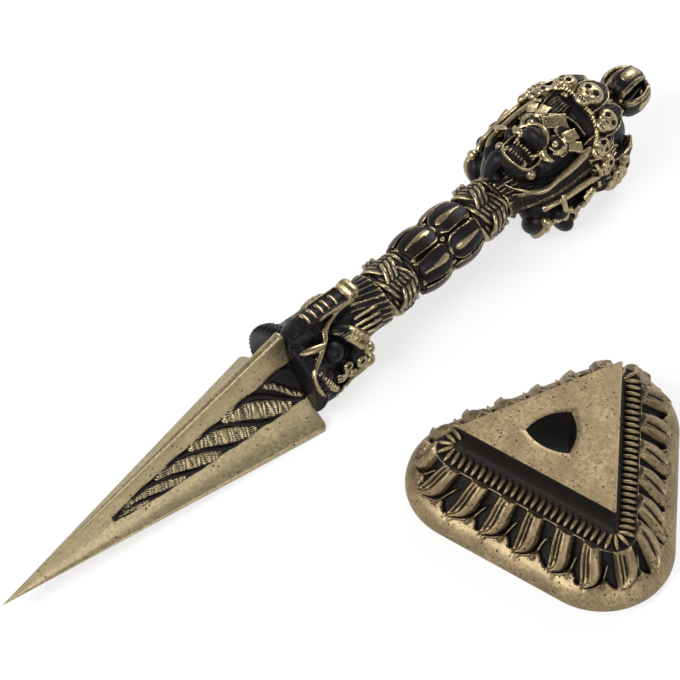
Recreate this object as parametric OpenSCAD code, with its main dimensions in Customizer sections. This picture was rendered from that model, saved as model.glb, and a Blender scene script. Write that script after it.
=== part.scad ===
// A phurba: a three-edged ritual dagger built up from cast brass pieces, and its lotus stand.
// The blade, guard, knots, grip, head, crown, topknot and finial are threaded on one steel rod.
// Each dagger piece is drawn upright on the Z axis, point down, and laid_down() sets it on the table.
// A casting with carving on it is a skin whose distance from the axis is worked out by a function
// of the angle and the height, so that the carving follows from a few sizes.
// All sizes are in millimetres.

/* [Blade] */
// Length of the blade from its point to its shoulder
blade_len = 70; // [60:0.5:80]
// Distance of each of the three edges from the axis, at the shoulder
blade_reach = 12.8; // [11:0.1:14]
// Half the width of the flat land along each edge, at the shoulder
edge_land = 0.8; // [0.5:0.05:1.1]
// Distance of the hollow of each face from the axis, at the shoulder
hollow_depth = 4.3; // [4:0.1:4.8]
// Radius that rounds the outer corner of each edge at the shoulder
shoulder_round = 1.2; // [0.6:0.1:1.6]
// Half the width of each of the two serpents that twist down a face
serpent_r = 0.75; // [0.5:0.02:0.9]
// Distance from the point to the serpents' tails
serpent_start = 27; // [22:0.5:34]
// Length of one full turn of the serpents about each other
serpent_pitch = 16.5; // [10:0.2:18]
// Half the width of the pair of serpents at the shoulder
serpent_spread = 2.5; // [2:0.1:3]
// Radius of the round tenon that enters the guard
tenon_r = 3.6; // [3:0.1:4]
// Length of the tenon
tenon_len = 4; // [3:0.1:6]

/* [Guard with three makara heads] */
// Length of the guard along the axis
guard_len = 24; // [22:0.5:28]
// Radius of the ribbed collar that sits on the blade's shoulder
collar_r = 9.2; // [8:0.1:10]
// Height of the collar
collar_h = 3; // [2.5:0.1:4]
// Distance of each makara's snout from the axis
snout_reach = 10.8; // [10.2:0.1:11.4]
// Width of the upturned trunk
trunk_w = 4.3; // [3.8:0.1:5]
// Thickness of the trunk
trunk_t = 1.1; // [0.9:0.1:1.6]
// Height of the trunk's curl above the shoulder
curl_h = 16.7; // [15.5:0.2:18]
// Radius of the curl at the trunk's end
curl_r = 1.35; // [1:0.05:1.7]
// Radius of each bulging eye
makara_eye_r = 2.2; // [1.8:0.05:2.5]
// Half the thickness of the horn over each eye
horn_r = 1.7; // [1.3:0.05:2]

/* [Knots and grip] */
// Length of each knot along the axis
knot_len = 7.6; // [7:0.1:9]
// Outer radius of each knot
knot_r = 5.9; // [5.4:0.1:6.4]
// Number of bights round a knot
knot_bights = 5; // [5]
// Half the width of the plaited strap
strap_half_w = 1.05; // [0.8:0.05:1.2]
// Length of the grip between the knots
grip_len = 15.8; // [14:0.2:20]
// Radius of the grip at the petals' broadest
grip_r = 6.1; // [5.4:0.1:6.4]
// Radius of the hilt where one piece meets the next
joint_r = 4.1; // [3.8:0.1:4.4]
// Number of lotus petals in each tier of the grip
grip_petals = 6; // [6]

/* [Head and crown] */
// Length of the head casting, from the neck's foot to the seat under the crown
head_len = 18.6; // [17:0.25:20]
// Distance of the noses from the axis
nose_reach = 14.2; // [13.4:0.1:14.6]
// Distance from the axis to the middle of each face's round section
face_off = 6; // [5.6:0.1:6.4]
// Radius of each face's round section
face_r = 6.2; // [5.8:0.1:6.6]
// Angle by which the faces are turned from the blade's edges
head_turn = 10; // [0:1:20]
// Half the width of the open mouth
mouth_half_w = 3; // [2.6:0.05:3.3]
// Half the height of the open mouth
mouth_half_h = 1.9; // [1.6:0.05:2.1]
// Radius of each eye of a face
eye_r = 1.5; // [1.2:0.05:1.8]
// Height of the crown casting
crown_h = 10.8; // [10:0.1:12]
// Distance of the leaves behind the skulls from the axis
leaf_reach = 10.6; // [10:0.1:11.4]
// Radius of each skull
skull_r = 1.9; // [1.6:0.05:2.2]

/* [Topknot and finial] */
// Depth of the well in the crown that the topknot stands in
well_depth = 3.4; // [2.4:0.1:4]
// Height of the bound topknot of hair
topknot_h = 5.6; // [5:0.1:7]
// Radius of the topknot at its foot
topknot_r = 5.4; // [4.8:0.1:5.8]
// Height of the half thunderbolt on top
finial_h = 9.2; // [8.6:0.1:11]
// Distance of the thunderbolt's prongs from the axis where they are widest
finial_r = 4.8; // [4.2:0.1:5.2]
// Half the width of each prong where it is broadest
prong_half_w = 1.85; // [1.4:0.05:2]
// Half the thickness of each prong
prong_r = 0.8; // [0.6:0.05:1]
// Angle of the first prong from the blade's upper edge
prong_turn = 4; // [0:1:45]

/* [Rod that holds the dagger together] */
// Radius of the rod
rod_r = 1.5; // [1.2:0.05:1.7]
// Radial clearance round the rod, round the tenon and round the topknot's foot
fit_gap = 0.1; // [0.06:0.01:0.15]
// Length of rod that is screwed into the blade
rod_grip = 8; // [6:0.5:10]
// Length of rod that is screwed into the finial
rod_top = 3.2; // [2.5:0.1:4]

/* [Stand] */
// Height of the stand
stand_h = 17.8; // [16:0.2:19]
// Distance of the base's straight sides from the middle
base_in_r = 20.9; // [20:0.1:22.5]
// Distance of the base's rounded corners from the middle
base_corner = 28.4; // [27:0.1:30]
// Height of the plain rim round the base
rim_h = 3.8; // [3.2:0.1:4.6]
// Distance of the raised plateau's straight sides from the middle
plateau_in_r = 9.7; // [9.2:0.1:10.2]
// Height of the plateau above the milled border
plateau_h = 6; // [5:0.1:6.6]
// Distance of the milled border's outer sides from the middle
border_in_r = 13.3; // [12.8:0.1:14]
// Distance of the milled border's corners from the middle
border_corner = 22.7; // [22:0.1:23.4]
// Drop of the milled border from its inner to its outer side
border_drop = 0.7; // [0.5:0.1:1.2]
// Milled ribs along each side of the border
ribs_a_side = 27; // [20:1:30]
// Lotus petals in each third of the stand
petals_a_third = 7; // [7]
// How far the lotus petals stand out from the slope that carries them
petal_bulge = 1.85; // [1.4:0.05:2.1]
// Distance of the socket's three points from its axis
socket_r = 5.2; // [4.9:0.1:5.6]
// Distance of the socket's axis from the stand's middle, towards one corner
socket_off = 1.8; // [0:0.1:2]
// Width of the rim that the stand stands on, round the recess underneath
foot_w = 2.2; // [1.6:0.1:2.8]
// Depth of the recess underneath
recess_h = 3; // [2:0.1:3.6]

/* [Where they lie] */
// Distance from the socket's axis to the dagger's axis
dagger_gap = 49.5; // [47:0.1:70]
// Distance from the dagger's point to the socket, along the dagger
stand_along = 89.6; // [60:0.1:110]
// Angle of one of the stand's corners from the dagger's direction
stand_turn = 11.3; // [0:0.1:30]

/* [Hidden] */
edges = 3;
third = 360 / edges;

// Heights of the seats along the dagger's axis, measured from the blade's point.
guard_z = blade_len;
lower_knot_z = guard_z + guard_len;
grip_z = lower_knot_z + knot_len;
upper_knot_z = grip_z + grip_len;
head_z = upper_knot_z + knot_len;
crown_z = head_z + head_len;
topknot_z = crown_z + crown_h - well_depth;
finial_z = topknot_z + topknot_h;
dagger_len = finial_z + finial_h;

// Heights in the head casting, and how far the eyes and the ears stand from each face's middle.
mouth_z = 5.3;
nose_z = 8.9;
eye_z = 11.4;
eye_y = 3.1;
ear_turn = 48;

// The dagger rests on two edges of the blade and on the lowest noses of the head.
edge_drop = blade_reach * cos(180 - third);
nose_drop = nose_reach * cos(180 - third - head_turn);
lie_tilt = atan((nose_drop - edge_drop) / (head_z + nose_z - blade_len));
lie_height = edge_drop * cos(lie_tilt) - blade_len * sin(lie_tilt);

function polar(r, a, z) = [r * cos(a), r * sin(a), z];
function unit(v) = v / norm(v);
function mix(a, b, t) = a + (b - a) * t;
function clamp(t) = max(0, min(1, t));
// Rises smoothly from 0 at a to 1 at b.
function ramp(a, b, t) = let (s = clamp((t - a) / (b - a))) s * s * (3 - 2 * s);
// A rounded swelling of height h, centred on (y0, z0) and wy by wz across its half-axes.
function swell(y, z, y0, z0, wy, wz, h) =
    let (q = pow((y - y0) / wy, 2) + pow((z - z0) / wz, 2)) q < 1 ? h * sqrt(1 - q) : 0;
// Angle from the middle of the nearest of n equal sectors, between plus and minus half a sector.
function from_middle(a, n) = let (w = 360 / n, m = (a % w + w) % w) m > w / 2 ? m - w : m;

// Direction of a path at one of its points.
function heading(path, i) = unit(path[min(i + 1, len(path) - 1)] - path[max(i - 1, 0)]);

// Skin over a stack of equal rings, each listed clockwise when seen from the last ring's side.
module skin(rings) {
    n = len(rings);
    m = len(rings[0]);
    walls = [for (i = [0 : n - 2], k = [0 : m - 1])
        let (a = i * m + k, b = i * m + (k + 1) % m, c = a + m, d = b + m)
        each [[a, b, d], [a, d, c]]];
    ends = [[for (k = [m - 1 : -1 : 0]) k], [for (k = [0 : m - 1]) (n - 1) * m + k]];
    polyhedron(points = [for (ring = rings) each ring], faces = concat(walls, ends), convexity = 8);
}

// Casting whose surface stands at reach(angle, height) from the axis.
module relief(angles, heights, reach) {
    last = len(angles) - 1;
    skin([for (z = heights) [for (k = [last : -1 : 0]) polar(reach(angles[k], z), angles[k], z)]]);
}

// Equal steps round the axis.
function even_turns(count) = [for (k = [0 : count - 1]) 360 * k / count];

// Steps round the axis that lie closer together at the middle of each of the three sides.
function lobed_turns(count_a_third) =
    [for (k = [0 : edges - 1], i = [0 : count_a_third - 1])
        let (t = 2 * (i + 0.5) / count_a_third - 1)
        third * k + third / 2 * t * (0.6 + 0.4 * t * t)];

// Equal steps of height from the foot to the top of a casting.
function levels(h, count) = [for (i = [0 : count]) h * i / count];

// Sweeps an oval along a path. The normals point out of the surface that the strap lies on.
module strap(path, normals, half_widths, half_heights, sides) {
    skin([for (i = [0 : len(path) - 1])
        let (t = heading(path, i), s = unit(cross(t, normals[i])), u = cross(s, t))
        [for (k = [0 : sides - 1]) let (a = 360 * (k + 0.5) / sides)
            path[i] + half_widths[i] * cos(a) * s + half_heights[i] * sin(a) * u]]);
}

module three_times() {
    for (k = [0 : edges - 1]) rotate(third * k) children();
}

module rod_hole(z, h) {
    translate([0, 0, z - 0.5]) cylinder(r = rod_r + fit_gap, h = h + 1, $fn = 32);
}

// Turns the upright dagger onto the table beside the stand, with one edge on top.
module laid_down() {
    translate([-stand_along, dagger_gap, lie_height])
        rotate([0, 90 - lie_tilt, 0]) rotate([0, 0, 180]) children();
}

// Blade: a three-edged pyramid with hollow faces, and two serpents twisted down each face.

// One face of the blade at a height, across from one edge to the next. Each point is
// [height above the axis, place across the face]. The serpents ride on the hollow as two ridges.
function blade_face(z, reach) =
    let (share = z / blade_len,
         land = edge_land * share,
         side_y = reach * sin(third / 2) - land * cos(third / 2),
         side_x = reach * cos(third / 2) + land * sin(third / 2),
         floor_x = hollow_depth * share,
         grown = clamp((z - serpent_start) / (blade_len - serpent_start)),
         girth = serpent_r * (grown > 0 ? mix(0.4, 1, grown) : 0.2 * share),
         apart = serpent_spread * pow(grown, 0.6) * abs(sin(360 * (blade_len - z) / serpent_pitch - 45)),
         outer = max(apart, girth * 0.9),
         inner = max(outer - girth, girth * 0.3),
         lift = grown > 0 ? girth * 0.9 : 0,
         half = [[side_y, 0], [mix(side_y, outer + girth, 0.45), 0], [outer + girth, 0], [outer, lift],
                 [inner, lift * 0.35]])
    [for (p = concat([for (p = half) [-p[0], p[1]]], [[0, lift * 0.5]], [for (k = [4 : -1 : 0]) half[k]]))
        [mix(floor_x, side_x, pow(p[0] / side_y, 2)) + p[1], p[0]]];

function blade_ring(z, reach) =
    [for (k = [edges - 1 : -1 : 0])
        let (face = blade_face(z, reach), a = third * (k + 0.5))
        each concat([polar(reach + edge_land * z / blade_len * 0.6, a + third / 2, z)],
            [for (i = [len(face) - 1 : -1 : 0]) let (p = face[i])
                [p.x * cos(a) - p.y * sin(a), p.x * sin(a) + p.y * cos(a), z]])];

module blade() {
    tip = 0.6;
    step = serpent_pitch / 8;
    rows = floor((blade_len - shoulder_round - serpent_start) / step);
    heights = concat([tip, serpent_start - 0.3],
        [for (i = [rows : -1 : 0]) blade_len - shoulder_round - step * i]);
    color("darkkhaki") difference() {
        union() {
            skin(concat([for (z = heights) blade_ring(z, blade_reach * z / blade_len)],
                [blade_ring(blade_len - shoulder_round * 0.3, blade_reach - shoulder_round * 0.3),
                 blade_ring(blade_len, blade_reach - shoulder_round)]));
            translate([0, 0, blade_len - 1]) cylinder(r = tenon_r, h = tenon_len + 1, $fn = 32);
        }
        rod_hole(blade_len - rod_grip, rod_grip + tenon_len);
    }
}

// Rod: clamps the castings between the blade and the finial.
module tie_rod() {
    chamfer = rod_r * 0.27;
    bottom = blade_len - rod_grip;
    top = finial_z + rod_top;
    color("silver") {
        translate([0, 0, bottom]) cylinder(r1 = rod_r - chamfer, r2 = rod_r, h = chamfer);
        translate([0, 0, bottom + chamfer]) cylinder(r = rod_r, h = top - bottom - 2 * chamfer);
        translate([0, 0, top - chamfer]) cylinder(r1 = rod_r, r2 = rod_r - chamfer, h = chamfer);
    }
}

// Guard: three makara heads, each with an upturned trunk, that seem to spit out the blade's edges.

// Middle of the trunk, from the snout at t = 0 to the curl at t = 1.
function trunk_point(t) =
    [snout_reach - trunk_t / 2 - 2.1 * t * t + 0.9 * sin(150 * t), 0, mix(collar_h, curl_h, t)];

// The heads without their trunks, the collar and the neck above them. One horn and one eye fill
// each valley between two trunks, and v is the angle from the middle of that valley.
function guard_reach(a, z) =
    let (u = from_middle(a, edges),
         v = from_middle(a - third / 2, edges),
         neck = mix(collar_r - 0.8, joint_r + 0.1, ramp(collar_h, guard_len - 5, z)),
         core = z < collar_h ? collar_r : neck,
         y = core * sin(u),
         snout = (snout_reach - 1.5 - core) * ramp(trunk_w * 0.85, trunk_w * 0.5, abs(y))
             * ramp(curl_h, curl_h - 3, z),
         turn = 180 / PI / core,
         cheek = swell(v, z, 12, guard_len / 4, 34, guard_len / 5, curl_r),
         eye = swell(v, z, -10, guard_len * 0.31, makara_eye_r * turn, makara_eye_r, makara_eye_r * 0.8),
         horn_z = guard_len / 2 + 0.09 * v,
         horn = swell(v, z, 0, horn_z, 2.3 * horn_r * turn, horn_r, horn_r * 1.3),
         ball = swell(v, z, 26, guard_len * 0.56, horn_r * turn, horn_r, horn_r * 1.4),
         mane = z > curl_h - 2 && z < guard_len - 0.5 ? 0.35 * cos(12 * a) : 0)
    core + max(snout, cheek) + max(eye, horn, ball) + mane;

module trunk() {
    steps = 7;
    path = [for (i = [0 : steps]) trunk_point(i / steps)];
    end = trunk_point(1);
    strap(path, [for (p = path) [1, 0, 0.25]],
          [for (i = [0 : steps]) trunk_w / 2 * mix(1, 0.92, i / steps)],
          [for (p = path) trunk_t / 2], 8);
    translate(end) rotate([90, 0, 0])
        cylinder(r = curl_r, h = trunk_w, center = true, $fn = 20);
}

module makara_guard() {
    heights = concat(levels(collar_h, 2), [for (z = levels(guard_len - collar_h, 12)) collar_h + 0.02 + z]);
    color("dimgray") translate([0, 0, guard_z]) difference() {
        union() {
            relief(lobed_turns(20), [for (z = heights) min(z, guard_len)], function (a, z) guard_reach(a, z));
            three_times() trunk();
        }
        translate([0, 0, -1]) cylinder(r = tenon_r + fit_gap, h = tenon_len + fit_gap + 1, $fn = 32);
        rod_hole(0, guard_len);
    }
}

// Knots: a strap plaited round the hilt in three leads, passing over and under itself.
function knot_reach(a, z) =
    let (leads = 3,
         end = swell(0, z, 0, knot_len / 2, 1, knot_len / 2 + 0.4, 1),
         core = mix(joint_r, knot_r - 1.2, end),
         tall = knot_len / 2 - strap_half_w,
         strands = [for (j = [0 : leads - 1])
             let (p = (a + 360 * j) * knot_bights / leads,
                  off = (z - knot_len / 2 - tall * sin(p)) / (strap_half_w * (1 + 0.3 * abs(cos(p)))))
             abs(off) < 1 ? sqrt(1 - off * off) * (0.8 + 0.4 * sin(2 * p)) : 0])
    core + max(strands) * (knot_r - core - 0.05) / 1.2;

module knot(z) {
    color("gray") translate([0, 0, z]) difference() {
        relief(even_turns(10 * knot_bights), levels(knot_len, 9), function (a, z) knot_reach(a, z));
        rod_hole(0, knot_len);
    }
}

// Grip: two tiers of lotus petals that meet point to point at the waist, each with a raised rib.
function grip_reach(a, z) =
    let (half = grip_len / 2,
         up = 1 - abs(z - half) / half,
         u = abs(from_middle(a, grip_petals)) / (180 / grip_petals),
         core = mix(joint_r, grip_r - 1.5, ramp(0, 0.6, up)),
         point = 0.96 * sqrt(max(0, 1 - pow((up - 0.72) / 0.27, 2))),
         widest = up < 0.72 ? mix(0.75, 0.96, up / 0.72) : point,
         leaf = u < widest ? sqrt(1 - pow(u / widest, 2)) * mix(0.5, 1.1, ramp(0, 0.6, up)) : 0,
         rib = u < 0.2 && up > 0.12 && up < 0.86 ? 0.4 : 0)
    core + (z > 0 && z < grip_len ? leaf + rib : 0);

module grip() {
    count = 8 * grip_petals;
    color("dimgray") translate([0, 0, grip_z]) difference() {
        relief(even_turns(count), levels(grip_len, 12), function (a, z) grip_reach(a, z));
        rod_hole(0, grip_len);
    }
}

// Head: one wrathful face on each side, back to back round the rod.

// Distance from the axis to a lobe of a given radius whose middle lies off the axis.
function lobe(u, off, r) = off * cos(u) + sqrt(max(0.01, r * r - pow(off * sin(u), 2)));

// Seats of the five skulls over each face: angle from its middle, height in the crown, half the width.
skull_seats = [[0, crown_h * 0.45, skull_r * 1.25], [30, crown_h * 0.41, skull_r * 1.1],
               [47, crown_h * 0.06 + 0.4, skull_r]];

// Height of the hood's rim over each brow, at a place across the face.
function rim_height(y) = head_len + 1.8 - 5.2 * pow(y / 6.8, 2);

function head_reach(a, z) =
    let (u = from_middle(a - head_turn, edges),
         full = ramp(1.2, 4, z),
         off = face_off * full,
         round_r = mix(joint_r, face_r, full) - 0.5 * ramp(13, head_len, z),
         base = lobe(u, off, round_r),
         y = base * sin(u),
         side = abs(y),
         front = off + round_r,
         in_mouth = pow(y / mouth_half_w, 4) + pow((z - mouth_z) / mouth_half_h, 4),
         lips = in_mouth < 3.6 ? 0.6 : 0,
         mouth = in_mouth < 1 ? -1.5 : 0,
         nose = swell(y, z, 0, nose_z, mouth_half_w, mouth_half_h * 1.05, nose_reach - front),
         bridge = swell(y, z, 0, nose_z + 2.2, eye_r, eye_r * 1.4, eye_r * 0.7),
         eye = swell(side, z, eye_y, eye_z, eye_r, eye_r, eye_r * 0.9),
         cheek = swell(side, z, eye_y + 0.9, nose_z - 0.8, eye_r, eye_r, eye_r * 0.8),
         flame = abs(z - eye_z - 2.9 + 0.05 * pow(side - 2.5, 2)) < 1.1 && side > 0.8 && side < 6
             ? 1 - 0.5 * ramp(0.6, 1, cos(360 * (side - 0.8) / 1.9)) : 0,
         ear = swell(abs(u), z, ear_turn, nose_z + 1.5, 5, 7, eye_r * 1.1),
         rim = abs(z - rim_height(y)) < 0.8 ? 0.9 : 0,
         dome = swell(y, z, -1.5, eye_z + 6.3, 3.4, 2.6, 1.2),
         beard = z > 0.6 && z < 4.5 ? 0.5 * cos(15 * u) * full : 0)
    base + max(lips, nose) + mouth + bridge + eye + cheek + max(flame, dome, rim) + ear + beard;

module head() {
    color("dimgray") translate([0, 0, head_z]) difference() {
        relief(lobed_turns(21), levels(head_len, 18), function (a, z) head_reach(a, z));
        rod_hole(0, head_len);
    }
}

// Crown: the hood's rim over each brow, and behind it leaves that each carry a skull.
function crown_reach(a, z) =
    let (u = from_middle(a - head_turn, edges),
         round_r = mix(face_r - 0.5, 5.2, ramp(0, crown_h, z)),
         off = mix(face_off, 2.6, ramp(1, crown_h, z)),
         base = lobe(u, off, round_r),
         y = base * sin(u),
         rim = abs(z + head_len - rim_height(y)) < 0.8 ? 0.9 : 0,
         skulls = [for (s = skull_seats)
             swell(abs(u), z, s.x, s.y, s.z * 180 / PI / leaf_reach, s.z * 1.15, skull_r)],
         leaves = [for (s = skull_seats)
             1 - pow(max(0, abs(abs(u) - s.x) - 4) / 9, 2) - pow(max(0, z - s.y) / (skull_r * 3), 2)],
         leaf = (leaf_reach - base) * ramp(0, 3, z) * clamp(2.5 * max(leaves)))
    base + max(rim, max(0, leaf) + max(skulls));

module skull_crown() {
    color("darkgray") translate([0, 0, crown_z]) difference() {
        relief(lobed_turns(25), levels(crown_h, 11), function (a, z) crown_reach(a, z));
        translate([0, 0, crown_h - well_depth])
            cylinder(r = topknot_r + fit_gap, h = well_depth + 1, $fn = 48);
        rod_hole(0, crown_h);
    }
}

// Topknot: the hair drawn up in locks and bound with a ring under the finial.
function topknot_reach(a, z) =
    let (neck_r = 2.7,
         bound = abs(z - (topknot_h - 1)) < 0.6 ? 0.3 : 0,
         lock = z > 0.3 && z < topknot_h - 1.8 ? 0.25 * cos(12 * a) - 0.25 : 0)
    mix(topknot_r, neck_r, ramp(0.3, topknot_h - 1, z)) + bound + lock;

module topknot() {
    color("dimgray") translate([0, 0, topknot_z]) difference() {
        relief(even_turns(36), levels(topknot_h, 6), function (a, z) topknot_reach(a, z));
        rod_hole(0, topknot_h);
    }
}

// Finial: half a thunderbolt, whose four broad prongs spring from a lotus and close over a fifth.
module prong() {
    steps = 8;
    path = [for (i = [0 : steps]) let (t = i / steps)
        [0.4 + (finial_r - prong_r - 0.4) * pow(sin(180 * pow(t, 0.9)), 0.7), 0,
         mix(prong_r, finial_h - prong_r * 1.2, t)]];
    strap(path, [for (i = [0 : steps]) let (h = heading(path, i)) [h.z, 0, -h.x]],
          [for (i = [0 : steps]) prong_half_w * mix(1, 0.6, ramp(0.6, 1, i / steps))],
          [for (p = path) prong_r], 8);
}

module finial() {
    prongs = 4;
    core_r = 2.2;
    color("darkgray") translate([0, 0, finial_z]) difference() {
        union() {
            cylinder(r1 = core_r * 1.2, r2 = core_r * 1.3, h = 1.2, $fn = 32);
            cylinder(r1 = core_r, r2 = core_r * 0.6, h = finial_h - prong_r, $fn = 24);
            for (k = [0 : prongs - 1]) rotate(360 * k / prongs + prong_turn) prong();
            translate([0, 0, finial_h - prong_r * 2])
                cylinder(r1 = core_r * 0.8, r2 = core_r * 0.45, h = prong_r * 2, $fn = 24);
        }
        translate([0, 0, -1]) cylinder(r = rod_r + fit_gap, h = rod_top + fit_gap + 1, $fn = 32);
    }
}

// Stand: a thick cast lotus throne on a rounded triangle, with a socket for the blade through it.

// A rounded triangle whose sides lie in_r from the middle and whose corners reach out to corner_r,
// in equal steps along its outline. Each petal swells by bulge, outwards and upwards.
function rounded_triangle(in_r, corner_r, z, steps_a_third, bulge = 0, petals = 0) =
    let (off = 2 * (corner_r - in_r), r = corner_r - off,
         half_side = off * sin(third / 2),
         half_arc = r * PI / edges,
         run = 2 * (half_arc + half_side))
    [for (i = [edges * steps_a_third - 1 : -1 : 0])
        let (share = (i % steps_a_third) / steps_a_third,
             near = share > 0.5 ? share - 1 : share,
             far = max(0, abs(near) * run - half_arc),
             turn = min(third / 2, abs(near) * run / r * 180 / PI) * sign(near),
             middle = third * (floor(i / steps_a_third) + (share > 0.5 ? 1 : 0)),
             petal = bulge * pow(abs(cos(180 * petals * share)), 0.7),
             reach = r + petal * sin(petal_slope))
        [off * cos(middle) + reach * cos(middle + turn) - sign(near) * far * sin(middle + turn),
         off * sin(middle) + reach * sin(middle + turn) + sign(near) * far * cos(middle + turn),
         z + petal * cos(petal_slope)]];

border_z = stand_h - plateau_h;
border_foot_z = border_z - border_drop;
petal_top_z = border_foot_z - 0.4;
petal_slope = atan((petal_top_z - rim_h) / (base_in_r - border_in_r));
plateau_corner = 2 * plateau_in_r - 0.3;

// The plain rim, and above it the petals, which come out from under the border and end in a
// rounded drop. Each ring is given by its share of the way out and up, and the petals' swelling.
module lotus_base() {
    steps = 6 * petals_a_third;
    function ring(out, z, bulge) = rounded_triangle(mix(border_in_r, base_in_r, out),
        mix(border_corner, base_corner, out), z, steps, bulge * petal_bulge, petals_a_third);
    function up(share) = mix(rim_h, petal_top_z, share);
    skin([ring(0.95, 0, 0), ring(1, rim_h * 0.12, 0), ring(1, rim_h * 0.6, 0), ring(0.93, up(0), 0),
          ring(0.8, up(0.14), 0), ring(0.73, up(0.2), 0.75), ring(0.62, up(0.3), 1),
          ring(0.44, up(0.5), 1), ring(0.22, up(0.76), 0.8), ring(0.08, up(0.93), 0.4), ring(0.02, up(1), 0)]);
}

module plateau() {
    function ring(in_r, corner_r, z) = rounded_triangle(in_r, corner_r, z, 16);
    skin([ring(border_in_r, border_corner, border_foot_z - 0.8),
          ring(border_in_r, border_corner, border_foot_z),
          ring(plateau_in_r + 0.5, plateau_corner + 0.9, border_z),
          ring(plateau_in_r - 0.4, plateau_corner - 0.9, border_z + plateau_h * 0.5),
          ring(plateau_in_r, plateau_corner, stand_h - 0.4),
          ring(plateau_in_r, plateau_corner, stand_h)]);
}

module milled_border() {
    inner = plateau_in_r + 0.5;
    run = 2 * inner * tan(third / 2) * 0.98;
    slope = atan(border_drop / (border_in_r - inner));
    width = (border_in_r - inner) / cos(slope);
    for (k = [0 : edges - 1], i = [0 : ribs_a_side - 1])
        rotate(third * (k + 0.5))
            translate([(border_in_r + inner) / 2, run * ((i + 0.5) / ribs_a_side - 0.5),
                       (border_z + border_foot_z) / 2])
                rotate([0, slope, 0])
                    cube([width * 0.94, run / ribs_a_side * 0.5, 0.7], center = true);
}

// The socket's three sides bow outwards, each an arc struck from the point opposite.
module socket() {
    span = socket_r * 2 * sin(third / 2);
    intersection_for (k = [0 : edges - 1]) rotate(third * k)
        translate([socket_r, 0, -1]) cylinder(r = span, h = stand_h + 2, $fn = 48);
}

module stand() {
    function ring(z) = rounded_triangle(base_in_r - foot_w, base_corner - foot_w, z, 12);
    color("goldenrod") rotate(stand_turn) difference() {
        rotate(third) translate([-socket_off, 0, 0]) difference() {
            union() {
                lotus_base();
                plateau();
                milled_border();
            }
            skin([ring(-1), ring(recess_h)]);
        }
        socket();
    }
}

stand();
laid_down() blade();
laid_down() tie_rod();
laid_down() makara_guard();
laid_down() knot(lower_knot_z);  // lower_knot
laid_down() grip();
laid_down() knot(upper_knot_z);  // upper_knot
laid_down() head();
laid_down() skull_crown();
laid_down() topknot();
laid_down() finial();
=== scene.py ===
import math
import bpy
import numpy as np
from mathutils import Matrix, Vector
from mathutils.bvhtree import BVHTree


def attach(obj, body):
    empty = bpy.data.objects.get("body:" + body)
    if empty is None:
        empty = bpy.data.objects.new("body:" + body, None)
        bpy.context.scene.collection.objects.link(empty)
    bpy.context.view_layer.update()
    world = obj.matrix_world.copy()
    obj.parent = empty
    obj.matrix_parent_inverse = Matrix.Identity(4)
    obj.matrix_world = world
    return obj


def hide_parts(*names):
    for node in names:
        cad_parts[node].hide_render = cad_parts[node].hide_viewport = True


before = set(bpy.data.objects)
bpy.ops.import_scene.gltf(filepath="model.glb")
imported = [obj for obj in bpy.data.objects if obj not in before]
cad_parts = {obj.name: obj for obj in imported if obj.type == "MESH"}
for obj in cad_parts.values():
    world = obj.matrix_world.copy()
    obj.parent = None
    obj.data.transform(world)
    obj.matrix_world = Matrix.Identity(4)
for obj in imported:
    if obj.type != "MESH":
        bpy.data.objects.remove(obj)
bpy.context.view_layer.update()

# --- Table, light and camera ---------------------------------------------------------------
# A plain white table top, which carries the soft shadow of the two pieces. The light is a pale
# sky that is darker overhead, a soft box at each side and a weak lamp in front.


def add(tree, kind, feeds=(), **settings):
    """Puts a node into a tree and feeds its sockets with values or with other sockets."""
    node = tree.nodes.new(kind)
    for key, value in settings.items():
        setattr(node, key, value)
    for socket, feed in dict(feeds).items():
        if isinstance(feed, bpy.types.NodeSocket):
            tree.links.new(feed, node.inputs[socket])
        else:
            node.inputs[socket].default_value = feed
    return node


def compute(tree, operation, *feeds, clamped=False):
    """One step of arithmetic in a tree."""
    return add(tree, "ShaderNodeMath", enumerate(feeds), operation=operation,
               use_clamp=clamped).outputs[0]


def times(tree, a, b):
    return compute(tree, "MULTIPLY", a, b)


def bare_material(name):
    """A material without nodes, and its empty tree."""
    material = bpy.data.materials.new(name)
    material.use_nodes = True
    material.node_tree.nodes.clear()
    return material, material.node_tree


def put_in_scene(name, data):
    """A new object in the scene with the given mesh, lamp or camera."""
    thing = bpy.data.objects.new(name, data)
    bpy.context.scene.collection.objects.link(thing)
    return thing


table_side, table_drop = 3.0, 0.00002
table_points = [(x * table_side, y * table_side, -table_drop)
                for x, y in [(-1, -1), (1, -1), (1, 1), (-1, 1)]]
table_mesh = bpy.data.meshes.new("table_top")
table_mesh.from_pydata(table_points, [], [(0, 1, 2, 3)])
table_top = put_in_scene("table_top", table_mesh)

white_table, tree = bare_material("white_table")
rays = add(tree, "ShaderNodeLightPath").outputs
seen = compute(tree, "MAXIMUM", compute(tree, "MAXIMUM", rays["Is Camera Ray"], rays["Is Glossy Ray"]),
               rays["Is Transmission Ray"])
lit = add(tree, "ShaderNodeBsdfDiffuse", {"Color": (0.86, 0.86, 0.86, 1)}).outputs[0]
plain = add(tree, "ShaderNodeEmission", {"Color": (1, 1, 1, 1), "Strength": 1.0}).outputs[0]
own_glow = 0.72
share = times(tree, seen, own_glow)
top = add(tree, "ShaderNodeMixShader", {0: share, 1: lit, 2: plain}).outputs[0]
add(tree, "ShaderNodeOutputMaterial", {"Surface": top})
table_mesh.materials.append(white_table)

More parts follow.
